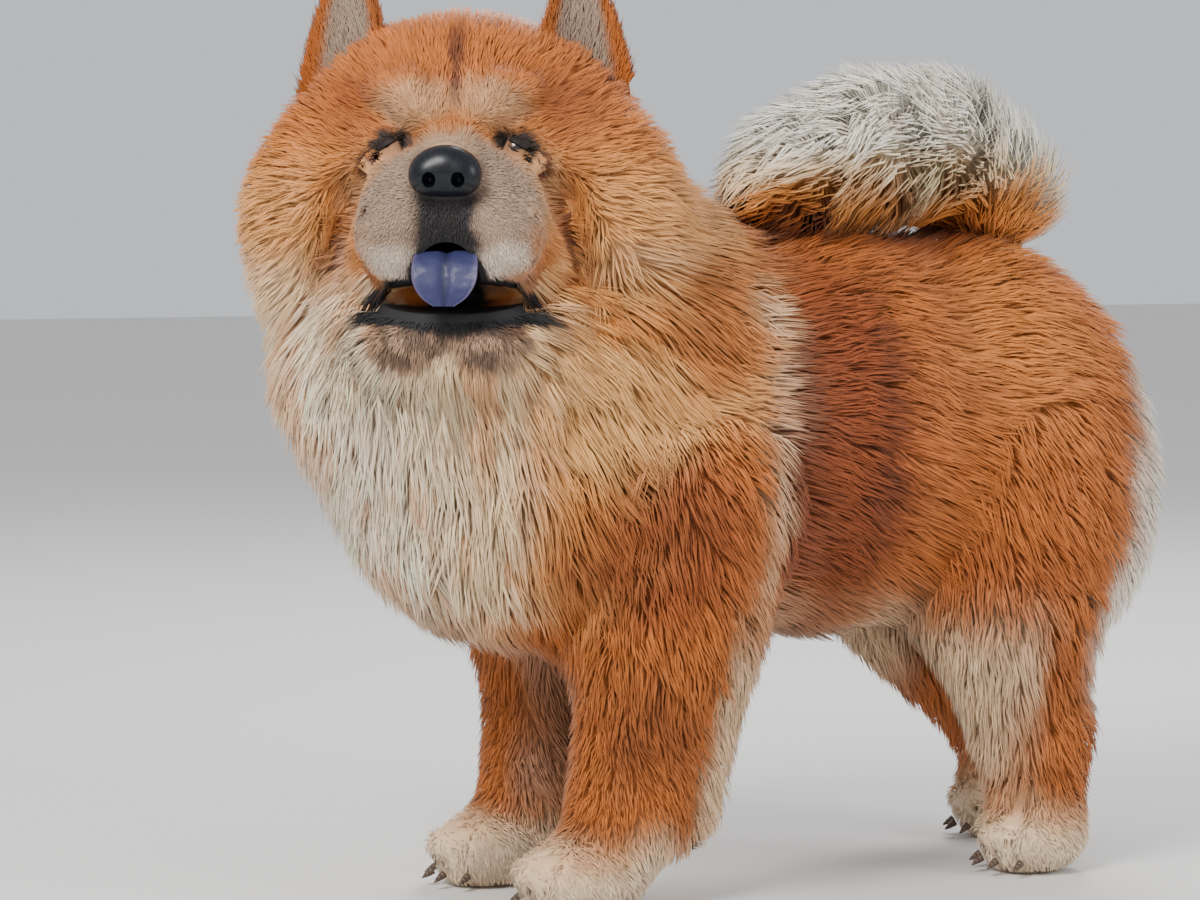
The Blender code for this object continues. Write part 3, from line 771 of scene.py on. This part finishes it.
# ---- tufts
FACE_SPACING, MUZZLE_SPACING, FOOT_SPACING = 0.0016, 0.00125, 0.0022
ROOT_SINK = 0.0015
CLUMP_SIZE = 16
CLUMPED_SHARE = 0.85
CLUMP_PULL = np.array([0.0, 0.16, 0.36])  # towards the clump's middle, at each place of a tuft
TUFT_STEPS = ((0.42, 0.62), (0.58, 1.0))  # each step's share of the length, and the rise reached
TUFT_WIDTHS = (0.85, 0.9)
FLATNESS = 0.45
SPLAY = 0.45  # how far a tuft's own sides turn the skin's normal
SIDES = ((0, 1), (1, 2), (2, 0))
TUFT_FACES = np.array(
    [(0, 2, 1)]
    + [face for i, j in SIDES for face in ((i, j, j + 3), (i, j + 3, i + 3))]
    + [(i + 3, j + 3, 6) for i, j in SIDES]
)
ALONG = np.array([0, 0, 0, 0.5, 0.5, 0.5, 1.0])
ACROSS = np.array([0, 1, 0.5, 0, 1, 0.5, 0.5])
PATCH = 0.003
PIECE_LIMIT = 190000
coat_pieces = []


def spread(obj, spacing, count):
    """So many points over the object, closer where the spacing is small, with their normals."""
    obj.data.calc_loop_triangles()
    points = corners_of(obj)
    corners = rows_of(obj.data.loop_triangles, "vertices", 3, np.int32)
    a, b, c = (points[corners[:, i]] for i in range(3))
    normal = np.cross(b - a, c - a)
    weight = np.linalg.norm(normal, axis=1) / 2 / spacing((a + b + c) / 3) ** 2
    total = np.concatenate([[0], np.cumsum(weight)])
    at = (np.arange(count) + rng.random(count)) * (total[-1] / count)
    pick = np.clip(np.searchsorted(total, at) - 1, 0, len(weight) - 1)
    u, v = rng.random((2, count, 1))
    turned = u + v > 1
    u, v = np.where(turned, 1 - u, u), np.where(turned, 1 - v, v)
    return a[pick] + u * (b - a)[pick] + v * (c - a)[pick], unit(normal)[pick]


def spacing(p):
    """How far apart the tufts stand: closest on the face and feet."""
    q = to_head(p)
    face = in_face(q) & (q[:, 1] < -0.035)
    muzzle = face & (q[:, 1] < -0.06) & (np.abs(q[:, 0]) < 0.075)
    apart = FACE_SPACING + 0.06 * np.minimum(coat_depth(p), 0.026)
    apart = np.where(muzzle, MUZZLE_SPACING, np.where(face, FACE_SPACING, apart))
    return np.where(p[:, 2] < 0.06, FOOT_SPACING, apart)


def clumped(roots, size):
    """Each root's clump: the nearest of fewer points spread among them."""
    count = len(roots)
    seeds = rng.permutation(count)[: max(1, int(count / size))]
    tree = KDTree(len(seeds))
    for i, s in enumerate(seeds):
        tree.insert(Vector(roots[s]), i)
    tree.balance()
    return seeds, np.array([tree.find(Vector(p))[1] for p in roots])


def levelled(at, normal, level, field, reach=0.02):
    """The points moved along their normals to the field's level."""
    for _ in range(2):
        at = at + normal * np.clip(level - field(at), -reach, reach)[:, None]
    return at


def tuft_lines(roots, normals, way, depth, field, length, reach):
    """Three places along each tuft, from just under the skin out to the coat's surface."""
    n = len(roots)
    way = unit(way - (way * normals).sum(1)[:, None] * normals)
    side = np.cross(way, normals)
    seeds, clump = clumped(roots, CLUMP_SIZE)
    bend = rng.normal(0, 0.16, len(seeds))[clump] + rng.normal(0, 0.1, n) + 0.22 * noise(roots, 0.05, 31)
    longer = (1 + rng.normal(0, 0.07, len(seeds)))[clump] * rng.uniform(0.75, 1.2, n)
    length = length * longer
    top = reach + rng.normal(0, 0.035, len(seeds))[clump] + rng.uniform(-0.16, 0.05, n)
    base = field(roots)
    lines = [roots - normals * np.minimum(ROOT_SINK, 0.25 * depth)[:, None]]
    at = roots
    heading = unit(way + bend[:, None] * side)
    for step, rise in TUFT_STEPS:
        level = base + (depth * top - base) * rise
        at = levelled(at + heading * (length * step)[:, None], normals, level, field)
        lines.append(at)
    lines = np.stack(lines, 1)
    lead = lines[seeds][clump]
    offset = 0.5 * (roots - roots[seeds][clump])[:, None]
    pulled = (rng.random(n) < CLUMPED_SHARE)[:, None, None]
    lines += (lead + offset - lines) * CLUMP_PULL[None, :, None] * pulled
    return lines, clump, top


def tuft_mesh(lines, normals, half):
    """Closed three-sided tapered tufts, each two rings of three points and a tip."""
    n = len(lines)
    roll = rng.normal(0, 0.5, n)[:, None]
    points, facing = [], []
    for k, width in enumerate(TUFT_WIDTHS):
        ahead = unit(lines[:, k + 1] - lines[:, max(k - 1, 0)])
        level = unit(np.cross(ahead, normals))
        rise = np.cross(level, ahead)
        side, out = level * np.cos(roll) + rise * np.sin(roll), rise * np.cos(roll) - level * np.sin(roll)
        w = (half * width)[:, None]
        points += [lines[:, k] + side * w, lines[:, k] - side * w, lines[:, k] + out * w * 2 * FLATNESS]
        facing += [normals + SPLAY * side, normals - SPLAY * side, normals + SPLAY * out]
    points = np.stack([*points, lines[:, -1]], 1)
    facing = unit(np.stack([*facing, normals], 1).reshape(-1, 3))
    faces = TUFT_FACES[None] + (np.arange(n) * points.shape[1])[:, None, None]
    return points.reshape(-1, 3), faces.reshape(-1, 3), facing


def coat_piece(name, lines, normals, half, colours, tips, places, material, slot):
    """One piece of the coat, or more where it would be too heavy, with its patches' UVs."""
    parts = math.ceil(len(lines) * len(TUFT_FACES) / PIECE_LIMIT)
    for k, chosen in enumerate(np.array_split(np.arange(len(lines)), parts)):
        points, faces, facing = tuft_mesh(lines[chosen], normals[chosen], half[chosen])
        obj = from_arrays(name if parts == 1 else f"{name}_{k + 1}", points, faces)
        # each tuft is painted darker towards its root: painted shade deep in the coat
        tone_and_shade = colours[chosen][:, None] * (0.72 + 0.28 * np.minimum(ALONG * 2.0, 1))[None, :, None]
        tone_and_shade = tone_and_shade + (tips[chosen] - colours[chosen])[:, None] * (ALONG**1.5)[None, :, None]
        paint_points(obj, tone_and_shade.reshape(-1, 3))
        uv = places[chosen][:, None] + PATCH * (np.stack([ACROSS, ALONG], -1) - 0.5)[None]
        layer = obj.data.uv_layers.new(name="OFBake")
        layer.data.foreach_set("uv", uv.reshape(-1, 2)[faces.ravel()].astype(np.float32).ravel())
        obj.data.materials.append(material)
        obj.data.shade_smooth()
        obj.data.normals_split_custom_set_from_vertices(facing.tolist())
        obj["slot"] = slot
        coat_pieces.append(obj)


# ---- materials
def material_of(name, roughness, build=None, **inputs):
    """A Principled material; build adds its nodes."""
    material = bpy.data.materials.new(name)
    material.use_nodes = True
    shader = material.node_tree.nodes["Principled BSDF"]
    shader.inputs["Roughness"].default_value = roughness
    for key, value in inputs.items():
        shader.inputs[key.replace("_", " ")].default_value = value
    if build:
        build(material.node_tree, shader)
    return material


def node(tree, kind, **settings):
    made = tree.nodes.new(kind)
    for key, value in settings.items():
        if key in made.inputs:
            made.inputs[key].default_value = value
        else:
            setattr(made, key, value)
    return made


def coords(tree):
    """The object's own coordinates."""
    return node(tree, "ShaderNodeTexCoord").outputs["Object"]


def bumped(tree, shader, height, strength, depth):
    bump = node(tree, "ShaderNodeBump", Strength=strength, Distance=depth)
    tree.links.new(height, bump.inputs["Height"])
    tree.links.new(bump.outputs["Normal"], shader.inputs["Normal"])


def speckled(scale, low_share, high_share):
    """Nodes that take the stored markings and vary them with fine noise."""

    def build(tree, shader):
        stored = node(tree, "ShaderNodeAttribute", attribute_name=MARKINGS)
        fine = node(tree, "ShaderNodeTexNoise", Scale=scale, Detail=4.0)
        tree.links.new(coords(tree), fine.inputs["Vector"])
        ramp = node(tree, "ShaderNodeMapRange")
        ramp.inputs["To Min"].default_value = low_share
        ramp.inputs["To Max"].default_value = high_share
        tree.links.new(fine.outputs["Fac"], ramp.inputs["Value"])
        times = node(tree, "ShaderNodeVectorMath", operation="SCALE")
        tree.links.new(stored.outputs["Color"], times.inputs[0])
        tree.links.new(ramp.outputs["Result"], times.inputs["Scale"])
        tree.links.new(times.outputs["Vector"], shader.inputs["Base Color"])
        bumped(tree, shader, fine.outputs["Fac"], 0.35, 0.0006)

    return build


def paint(obj, material):
    obj.data.materials.clear()
    obj.data.materials.append(material)
    obj.data.shade_smooth()


# ---- build: skin and coat
TUFTS = 134000
# the skin is painted this share of the coat's colour, a little darker: painted shade in the gaps between
# the tufts
SKIN_PAINTED_SHADE = 0.95
BRIGHTEST = 0.95
SHORTEST, LENGTH_SHARE = 0.0022, 0.68  # a tuft's length: this, and this share of the coat's depth
THINNEST_HALF, HALF_SHARE, DEEPEST = 0.00034, 0.018, 0.032  # half its width, in the same way
STRAY = 0.005  # a tip farther than this outside the coat's surface takes its tuft away
TAIL_LIFT, UNDER_TAIL = 0.03, 0.2  # the tail's hair stands out by these shares of its depth
NODE_OF = {
    "body": "torso", "mane": "neck", "head": "head",
    "fore_legs": "fore_leg_left", "hind_legs": "hind_leg_left", "tail": "tail",
}

skin = make_skin()
unwrap = unwrapped(skin)
skin_points = corners_of(skin)
skin_depth = coat_depth(skin_points)
lift = 0.5 * skin_depth * soft(skin_depth, 0.008, 0.016)
up = unit(slope_of(body_skin, skin_points)) * lift[:, None]
paint_points(skin, markings_and_shade(skin_points + up) * SKIN_PAINTED_SHADE)
hide = material_of("skin", 0.75, speckled(260.0, 0.75, 1.15))
paint(skin, hide)

roots, normals = spread(skin, spacing, TUFTS)
q = to_head(roots)
mouth = np.minimum(distance(MOUTH[0], q), distance(MOUTH[1], q))
bare = (mouth < 0.0045) & (q[:, 1] < -0.03) | (blended(NOSE, q) < 0.0015)
bare |= (distance(EYE_LINE, folded(q)) < 0.002) | (roots[:, 2] < 0.003)
roots, normals = roots[~bare], normals[~bare]
label = labels(roots)
depth = np.where(label == LABELS.index("tail"), TAIL_COAT, coat_depth(roots))
normals = unit(0.5 * normals + 0.5 * unit(slope_of(body_skin, roots)))
colours = markings_and_shade(roots + normals * (0.5 * depth * soft(depth, 0.006, 0.012))[:, None])
places = unwrap_places(roots, unwrap)
way = lie(roots, label)


def coat_for(name, chosen, field, reach):
    """Grows one part's tufts and makes its pieces."""
    p, n, d = roots[chosen], normals[chosen], depth[chosen]
    length = SHORTEST + LENGTH_SHARE * d
    under = UNDER_TAIL * (name == "tail") * np.clip(-n[:, 2], 0, 1)
    lines, clump, top = tuft_lines(p, n, way[chosen], d, field, length, reach + under)
    lines[:, 1:, 2] = np.maximum(lines[:, 1:, 2], 0.0015)
    kept = field(lines[:, 2]) < STRAY + TAIL_COAT * under
    half = (THINNEST_HALF + HALF_SHARE * np.minimum(d, DEEPEST)) * rng.uniform(0.75, 1.25, len(p))
    tone_and_shade = (1 + rng.normal(0, 0.06, clump.max() + 1))[clump] * rng.uniform(0.9, 1.1, len(p))
    # tufts are painted darker the deeper their tips end inside the coat: painted shade
    tone_and_shade = tone_and_shade * (1 + 0.9 * (top - reach))
    base = colours[chosen] * tone_and_shade[:, None]
    tips = base * (1 + rng.uniform(-0.05, 0.16, (len(p), 1)))
    base, tips = np.clip(base, 0, BRIGHTEST), np.clip(tips, 0, BRIGHTEST)
    args = [x[kept] for x in (lines, n, half, base, tips, places[chosen])]
    coat_piece("coat_" + name, *args, fur, NODE_OF[name])


fur = material_of(
    "fur", 0.55, speckled(900.0, 0.82, 1.12),
    Specular_IOR_Level=0.3, Sheen_Weight=0.12, Sheen_Roughness=0.5,
)
for index, name in enumerate(LABELS):
    field, reach = (tail_outline, TAIL_LIFT) if name == "tail" else (outline, 0.0)
    coat_for(name, np.flatnonzero(label == index), field, reach)

# ---- ears
EAR_ROOT = np.array([0.087, 0.014, 0.066])
EAR_UP = np.array([-0.06, -0.08, 1.0])
EAR_ACROSS = np.array([0.93, 0.36, -0.22])
EAR_HEIGHT = 0.108
EAR_HALF_WIDTH = 0.034
EAR_CUP = 0.016
EAR_THICK = 0.009
EAR_SUNK = 0.18  # the share of its height that the ear's foot lies under its root
EAR_FUR = 0.006
EAR_LIFT = 0.3
EAR_TUFT_HALF = 0.00055


def grid_faces(rows, columns, at=0, turned=False):
    i, j = np.meshgrid(np.arange(rows - 1), np.arange(columns - 1), indexing="ij")
    a = (at + i * columns + j).ravel()
    faces = np.stack([a, a + 1, a + columns + 1, a + columns], -1)
    return faces[:, ::-1] if turned else faces


def grid_solid(name, front, back):
    """A closed solid between two grids of points of one size, with a wall round their rims."""
    rows, columns = front.shape[:2]
    half = rows * columns
    rim = list(range(columns))
    rim += [i * columns + columns - 1 for i in range(1, rows)]
    rim += [(rows - 1) * columns + j for j in range(columns - 2, -1, -1)]
    rim += [i * columns for i in range(rows - 2, 0, -1)]
    walls = [(b, a, a + half, b + half) for a, b in zip(rim, rim[1:] + rim[:1])]
    faces = [grid_faces(rows, columns), grid_faces(rows, columns, half, True), np.array(walls)]
    points = np.concatenate([front.reshape(-1, 3), back.reshape(-1, 3)])
    obj = from_arrays(name, points, np.concatenate(faces))
    outward(obj)
    return obj


def outward(obj):
    """Turns the object's faces outwards."""
    bm = bmesh.new()
    bm.from_mesh(obj.data)
    bmesh.ops.recalc_face_normals(bm, faces=bm.faces[:])
    if bm.calc_volume(signed=True) < 0:
        bmesh.ops.reverse_faces(bm, faces=bm.faces[:])
    bm.to_mesh(obj.data)
    bm.free()


def ear_axes(side):
    """Up the ear, across it and out of its rear, in the head's frame."""
    up = EAR_UP / np.linalg.norm(EAR_UP)
    across = EAR_ACROSS - up * (EAR_ACROSS @ up)
    across /= np.linalg.norm(across)
    back = np.cross(up, across)
    back *= np.sign(back[1])
    turn = signs(side)
    return up * turn, across * turn, back * turn


def ear_half(v):
    """Half the ear's width at each share of its height."""
    return EAR_HALF_WIDTH * (1.0 - v**1.8) ** 0.62 + 0.003


def ear_shell(side, name, rows=30, columns=21):
    """The ear as a cupped leaf."""
    up, across, back = ear_axes(1)
    v = np.sin(0.5 * np.pi * np.arange(rows) / (rows - 1))[:, None, None]
    u = (2 * np.arange(columns) / (columns - 1) - 1)[None, :, None]
    line = EAR_ROOT + up * (EAR_HEIGHT - EAR_FUR) * (v - EAR_SUNK)
    line = line + across * (ear_half(v) - EAR_FUR * 0.5) * u
    dip = EAR_CUP * (1 - u * u) * (1.0 - 0.75 * v)
    thick = EAR_THICK * (0.45 + 0.45 * (1 - u * u)) * (1.0 - 0.45 * v)
    front, rear = line + back * dip, line + back * (dip + thick)
    shell = grid_solid("ear_shell_" + name, front * signs(side), rear * signs(side))
    shell.data.transform(HEAD_FRAME)
    # the shell is painted darker than the ear's coat: painted shade in the gaps between its tufts
    paint_points(shell, tiled(RUST, len(shell.data.vertices), 0.7))
    paint(shell, hide)
    return shell


def ear_fur(name, slot, shell, side, count, length, faced, colour):
    """Straight tufts on the ear where its surface faces the given way."""
    p, n = spread(shell, lambda x: np.ones(len(x)), count)
    q = to_head(p)
    chosen = ((n @ HEAD_TURN) @ faced > -0.2) & (q @ ear_axes(1)[0] > 0.055)
    p, n, q = p[chosen], n[chosen], q[chosen]
    way = unit(q - np.array([0.08 * side, 0.02, 0.04])) + np.array([0, 0, 0.6])
    way = unit(way @ HEAD_TURN.T)
    way = unit(way - 0.8 * (way * n).sum(1)[:, None] * n + rng.normal(0, 0.12, (len(p), 3)))
    long = (length * rng.uniform(0.7, 1.2, len(p)))[:, None]
    middle = p + way * long * 0.45 + n * long * EAR_LIFT * 0.6
    lines = np.stack([p - 0.0004 * n, middle, p + way * long + n * long * EAR_LIFT], 1)
    base = colour(q) * rng.uniform(0.85, 1.12, (len(p), 1))
    on_skin = unwrap_places(p, unwrap)
    half = EAR_TUFT_HALF * rng.uniform(0.8, 1.3, len(p))
    coat_piece(name, lines, n, half, base, base, on_skin, fur, slot)


def outer_ear(q):
    return tiled(RUST, len(q))


def inner_ear(q):
    """Grey inside the cup, orange towards the rim."""
    up, across, _ = ear_axes(1)
    w = folded(q) - EAR_ROOT
    v = np.clip(w @ up / EAR_HEIGHT + EAR_SUNK, 0, 0.99)
    rim = np.abs(w @ across) / ear_half(v)
    return mixed(tiled(GREY, len(q), 1.15), RUST, np.maximum(soft(rim, 0.45, 0.75), soft(v, 0.7, 0.85)))


ears = []
for side, name in ((1, "ear_left"), (-1, "ear_right")):
    shell = ear_shell(side, name[4:])
    back = ear_axes(side)[2]
    ear_fur("coat_" + name, name, shell, side, 9000, 0.0085, back, outer_ear)
    ear_fur("coat_" + name + "_inner", name, shell, side, 6500, 0.011, -back, inner_ear)
    ears.append(shell)

# ---- nose, tongue, eyes
NOSTRILS = both(ball((0.01, -0.1315, -0.0055), (0.0048, 0.011, 0.0056)))
NOSE_GROOVES = [
    *both(limb((0.013, -0.132, -0.0075), (0.0215, -0.124, -0.0125), 0.0014, 0.001, blend=0.002)),
    limb((0, -0.134, -0.003), (0, -0.13, -0.019), 0.0012, 0.0014, blend=0.002),
]


def nose_outline(p):
    q = to_head(p)
    return hollowed(blended(NOSE, q), NOSE_GROOVES, q)


nose = rough_union("nose_leather", [(NOSE, HEAD_FRAME)], 0.0008)
set_corners(nose, settled(corners_of(nose), nose_outline, 4, 0.006))
smoothed(nose, 1, 0.3)
for form in NOSTRILS:
    cut_ball(nose, form, 24)


def pebbled(tree, shader):
    """Wet leather: small pebbles, dark blue-black, painted paler on their crests and darker in the grooves
    between them as painted light and shade.
    """
    cells = node(tree, "ShaderNodeTexVoronoi", Scale=620.0)
    tree.links.new(coords(tree), cells.inputs["Vector"])
    # painted light and shade: paler at the middle of each pebble, darker towards the grooves
    ramp = node(tree, "ShaderNodeValToRGB")
    ramp.color_ramp.elements[0].color = (0.01, 0.012, 0.018, 1)
    ramp.color_ramp.elements[1].color = (0.003, 0.004, 0.006, 1)
    ramp.color_ramp.elements[1].position = 0.7
    tree.links.new(cells.outputs["Distance"], ramp.inputs["Fac"])
    tree.links.new(ramp.outputs["Color"], shader.inputs["Base Color"])
    bumped(tree, shader, cells.outputs["Distance"], -0.5, 0.0004)


paint(nose, material_of(
    "nose_leather", 0.36, pebbled, Specular_IOR_Level=0.25, Coat_Weight=0.1, Coat_Roughness=0.2
))

TONGUE_LINE = [
    (0, -0.03, -0.072), (0, -0.08, -0.064), (0, -0.106, -0.058), (0, -0.117, -0.064),
    (0, -0.1225, -0.075), (0, -0.1245, -0.085), (0, -0.1245, -0.092),
]
TONGUE_HALF = [0.016, 0.019, 0.021, 0.0225, 0.022, 0.0165, 0.007]
TONGUE_THICK = [0.008, 0.008, 0.008, 0.007, 0.006, 0.005, 0.003]
VIOLET = (0.028, 0.03, 0.09)
PALE_VIOLET = (0.09, 0.072, 0.15)
DARK_VIOLET = (0.013, 0.015, 0.045)


def curve(values, count):
    """A smooth run of values through the given ones."""
    v = np.array(values, float)
    if v.ndim == 1:
        v = v[:, None]
    v = np.vstack([2 * v[0] - v[1], v, 2 * v[-1] - v[-2]])
    t = np.linspace(0, len(values) - 1 - 1e-6, count)
    i, f = t.astype(int), (t % 1)[:, None]
    a, b, c, d = v[i], v[i + 1], v[i + 2], v[i + 3]
    bend, turn = 2 * a - 5 * b + 4 * c - d, 3 * b - a - 3 * c + d
    return 0.5 * (2 * b + (c - a) * f + bend * f**2 + turn * f**3)


def make_tongue(rows=48, columns=25):
    """A leaf along the tongue's line, with a groove, a raised rim and small bumps."""
    line = curve(TONGUE_LINE, rows)
    half, thick = curve(TONGUE_HALF, rows)[:, 0], curve(TONGUE_THICK, rows)[:, 0]
    ahead = np.gradient(line, axis=0)
    normal = unit(np.cross([1.0, 0, 0], ahead))
    normal *= np.sign(normal[:, 2] - normal[:, 1])[:, None]
    u = np.linspace(-1, 1, columns)
    x = half[:, None] * np.sin(u * np.pi / 2)[None]
    at = np.stack(np.broadcast_arrays(u * 0.02, line[:, 1:2], line[:, 2:]), -1)
    bumps = 0.0004 * noise(at.reshape(-1, 3), 0.004).reshape(rows, columns)
    curl = 0.002 * u**2 - 0.0016 * np.exp(-((u / 0.1) ** 2)) + bumps
    body = np.sqrt(1 - 0.8 * u**2)[None] * thick[:, None] / 2
    side = np.stack([x, 0 * x, 0 * x], -1) + line[:, None]
    top = side + normal[:, None] * (curl + body)[..., None]
    under = side + normal[:, None] * (curl - body)[..., None]
    obj = grid_solid("tongue_flesh", top, under)
    rim = np.abs(np.tile(u, rows))
    # painted highlight: paler along the raised rim
    c = mixed(tiled(VIOLET, len(rim)), PALE_VIOLET, soft(rim, 0.62, 0.95))
    # painted shade: darker along the groove down the middle
    c = mixed(c, DARK_VIOLET, 0.8 * fade(rim, 0.02, 0.14))
    paint_points(obj, np.tile(c, (2, 1)))
    obj.data.transform(HEAD_FRAME)
    return obj


tongue = make_tongue()
paint(tongue, material_of(
    "tongue_flesh", 0.45, speckled(700.0, 0.8, 1.25), Specular_IOR_Level=0.25, Coat_Weight=0.05
))

LID_FORWARD = np.array([0.3, -1.0, 0.08])
LID_ALONG = np.array([0.022, 0.006, -0.015])
LID_SPREAD = math.radians(78)
LID_GAP, LID_THICK, LID_THIN = 0.0002, 0.0016, 0.0005
BROWN_EYE = (0.06, 0.022, 0.008)


def eye_axes(side):
    """Which way the eye looks, along its slit, and up from it."""
    f = LID_FORWARD / np.linalg.norm(LID_FORWARD)
    a = LID_ALONG - f * (LID_ALONG @ f)
    a /= np.linalg.norm(a)
    up = np.cross(a, f)
    up *= np.sign(up[2])
    turn = signs(side)
    return f * turn, a * turn, up * turn


def make_eye(side, name):
    """An eyeball with a dark pupil and a brown iris."""
    bm = bmesh.new()
    bmesh.ops.create_uvsphere(bm, u_segments=48, v_segments=24, radius=EYE.ra[0])
    obj = from_bmesh("eyeball_" + name, bm)
    p = corners_of(obj)
    look = np.degrees(np.arccos(np.clip(unit(p) @ eye_axes(side)[0], -1, 1)))
    paint_points(obj, mixed(tiled(LIP, len(p)), BROWN_EYE, soft(look, 16, 20) * fade(look, 34, 38)))
    set_corners(obj, p + np.array(EYE.a) * signs(side))
    obj.data.transform(HEAD_FRAME)
    paint(obj, cornea)
    return obj


def make_lid(side, name, edge, far, rows=12, columns=25):
    """A lid: part of a shell round the eye, from its edge at the slit back under the fur."""
    f, a, up = eye_axes(side)
    centre = np.array(EYE.a) * signs(side)
    turn = np.linspace(-LID_SPREAD, LID_SPREAD, columns)[None]
    start = math.radians(edge) * np.cos(turn * math.pi / 2 / LID_SPREAD) ** 0.8
    share = np.linspace(0, 1, rows)[:, None]
    rise = start + (math.radians(far) - start) * share
    ray = (
        (np.cos(rise) * np.cos(turn))[..., None] * f
        + (np.cos(rise) * np.sin(turn))[..., None] * a
        + np.sin(rise)[..., None] * up
    )
    inner = centre + ray * (EYE.ra[0] + LID_GAP)
    outer = centre + ray * (EYE.ra[0] + LID_THICK - LID_THIN * share[..., None])
    obj = grid_solid("lid_" + name, inner, outer)
    paint_points(obj, tiled(SOOT, len(obj.data.vertices), 0.6))
    obj.data.transform(HEAD_FRAME)
    paint(obj, leather)
    return obj


cornea = material_of("cornea", 0.12, speckled(300.0, 0.9, 1.1), Coat_Weight=0.6, Coat_Roughness=0.04)
leather = material_of("lid_leather", 0.55, speckled(500.0, 0.7, 1.2), Specular_IOR_Level=0.2)
eyes, lids = [], []
for side, name in ((1, "left"), (-1, "right")):
    eyes.append(make_eye(side, name))
    lids.append(make_lid(side, name + "_upper", 4.0, 68.0))
    lids.append(make_lid(side, name + "_lower", -13.0, -66.0))

# ---- claws
CLAW_LENGTH = 0.01
CLAW_RADII = (0.003, 0.0026, 0.0018, 0.0006)
CLAW_PLACES = (-0.027, -0.0095, 0.0095, 0.027)
CLAW_START = 0.009
CLAW_HEIGHT = 0.0115
FOOT_HALF = 0.041
HORN = (0.1, 0.065, 0.045)


def make_claws():
    """Sixteen short, blunt claws, one before each toe."""
    feet = [(FORE_X, FORE_Y - 0.045, 0.05), (-FORE_X, FORE_Y - 0.045, 0.05)]
    feet += [(HIND_X, HIND_Y - 0.004, 0.047), (-HIND_X, HIND_Y + FAR_HIND_BACK - 0.004, 0.047)]
    bm = bmesh.new()
    for x, y, reach in feet:
        for across in CLAW_PLACES:
            ahead = reach * math.sqrt(1 - (across / FOOT_HALF) ** 2)
            base = Vector((x + across, y - ahead + CLAW_START, CLAW_HEIGHT))
            way = Vector((0.35 * across / CLAW_PLACES[-1], -1.0, -0.62)).normalized()
            turn = way.to_track_quat("Z", "Y").to_matrix().to_4x4()
            for k in range(3):
                a, b = CLAW_RADII[k:k + 2]
                place = Matrix.Translation(base + way * CLAW_LENGTH * (k + 0.5) / 3) @ turn
                bmesh.ops.create_cone(
                    bm, cap_ends=True, segments=12, radius1=a, radius2=b,
                    depth=CLAW_LENGTH / 3 * 1.02, matrix=place,
                )
    obj = from_bmesh("claws", bm)
    points = corners_of(obj)
    points[:, 2] = np.maximum(points[:, 2], 0.0006)
    set_corners(obj, points)
    paint_points(obj, tiled(HORN, len(points)))
    paint(obj, material_of("claw_horn", 0.4, speckled(400.0, 0.6, 1.3)))
    return obj


claws = make_claws()

# ---- placing everything
for obj in (skin, nose, tongue, claws, *ears, *eyes, *lids, *coat_pieces):
    obj.data.transform(Matrix.Translation(SHIFT))
    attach(obj, "root")
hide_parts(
    "torso", "neck", "head", "lower_jaw", "tail",
    "fore_leg_left", "fore_leg_right", "hind_leg_left", "hind_leg_right",
)
for obj, name in zip(
    (nose, tongue, *ears, *eyes), ("nose", "tongue", "ear_left", "ear_right", "eye_left", "eye_right")
):
    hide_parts(name)

# ---- floor, light, camera
def make_floor():
    bpy.ops.mesh.primitive_plane_add(size=30, location=(0, 0, 0))
    floor = bpy.context.object
    floor.name = "floor"
    paint(floor, material_of("floor", 0.8, Base_Color=(0.72, 0.71, 0.69, 1)))


def light(name, at, aim, size, power, colour=(1, 1, 1)):
    data = bpy.data.lights.new(name, "AREA")
    data.shape = "DISK"
    data.size = size
    data.energy = power
    data.color = colour
    obj = new_object(name, data)
    obj.location = Vector(at)
    obj.rotation_euler = (Vector(aim) - Vector(at)).to_track_quat("-Z", "Y").to_euler()


# the photograph's view: the camera's direction and distance, its focal length, image size,
# the column of its axis and the row of its horizon, in pixels
AZIMUTH = math.radians(62)
DISTANCE = 2.8
CAMERA_HEIGHT = 0.5
FOCAL_PIXELS = 3790.0
WIDTH, HEIGHT = 1200.0, 900.0
CENTRE_COLUMN, HORIZON_ROW = 583.0, 216.0
SENSOR = 36.0


def make_camera():
    back = Vector((math.sin(AZIMUTH), -math.cos(AZIMUTH), 0))
    data = bpy.data.cameras.new("camera")
    data.sensor_width = SENSOR
    data.lens = FOCAL_PIXELS / WIDTH * SENSOR
    data.shift_x = (WIDTH / 2 - CENTRE_COLUMN) / WIDTH
    data.shift_y = (HORIZON_ROW - HEIGHT / 2) / WIDTH
    data.clip_end = 60
    camera = new_object("camera", data)
    camera.location = back * DISTANCE + Vector((0, 0, CAMERA_HEIGHT)) + SHIFT
    camera.rotation_mode = "QUATERNION"
    camera.rotation_quaternion = (-back).to_track_quat("-Z", "Y")
    bpy.context.scene.camera = camera


make_floor()
make_camera()
world = bpy.data.worlds.new("world")
bpy.context.scene.world = world
world.use_nodes = True
background = world.node_tree.nodes["Background"]
background.inputs["Color"].default_value = (0.93, 0.95, 1.0, 1)
background.inputs["Strength"].default_value = 0.75
light("key", (1.6, -2.4, 2.7), (0, 0.05, 0.35), 1.4, 145, (1, 0.98, 0.95))
light("side", (2.6, 1.8, 1.6), (0, 0.1, 0.35), 1.6, 40)
light("rim", (-1.6, 1.4, 2.4), (0, 0.1, 0.4), 1.2, 60)
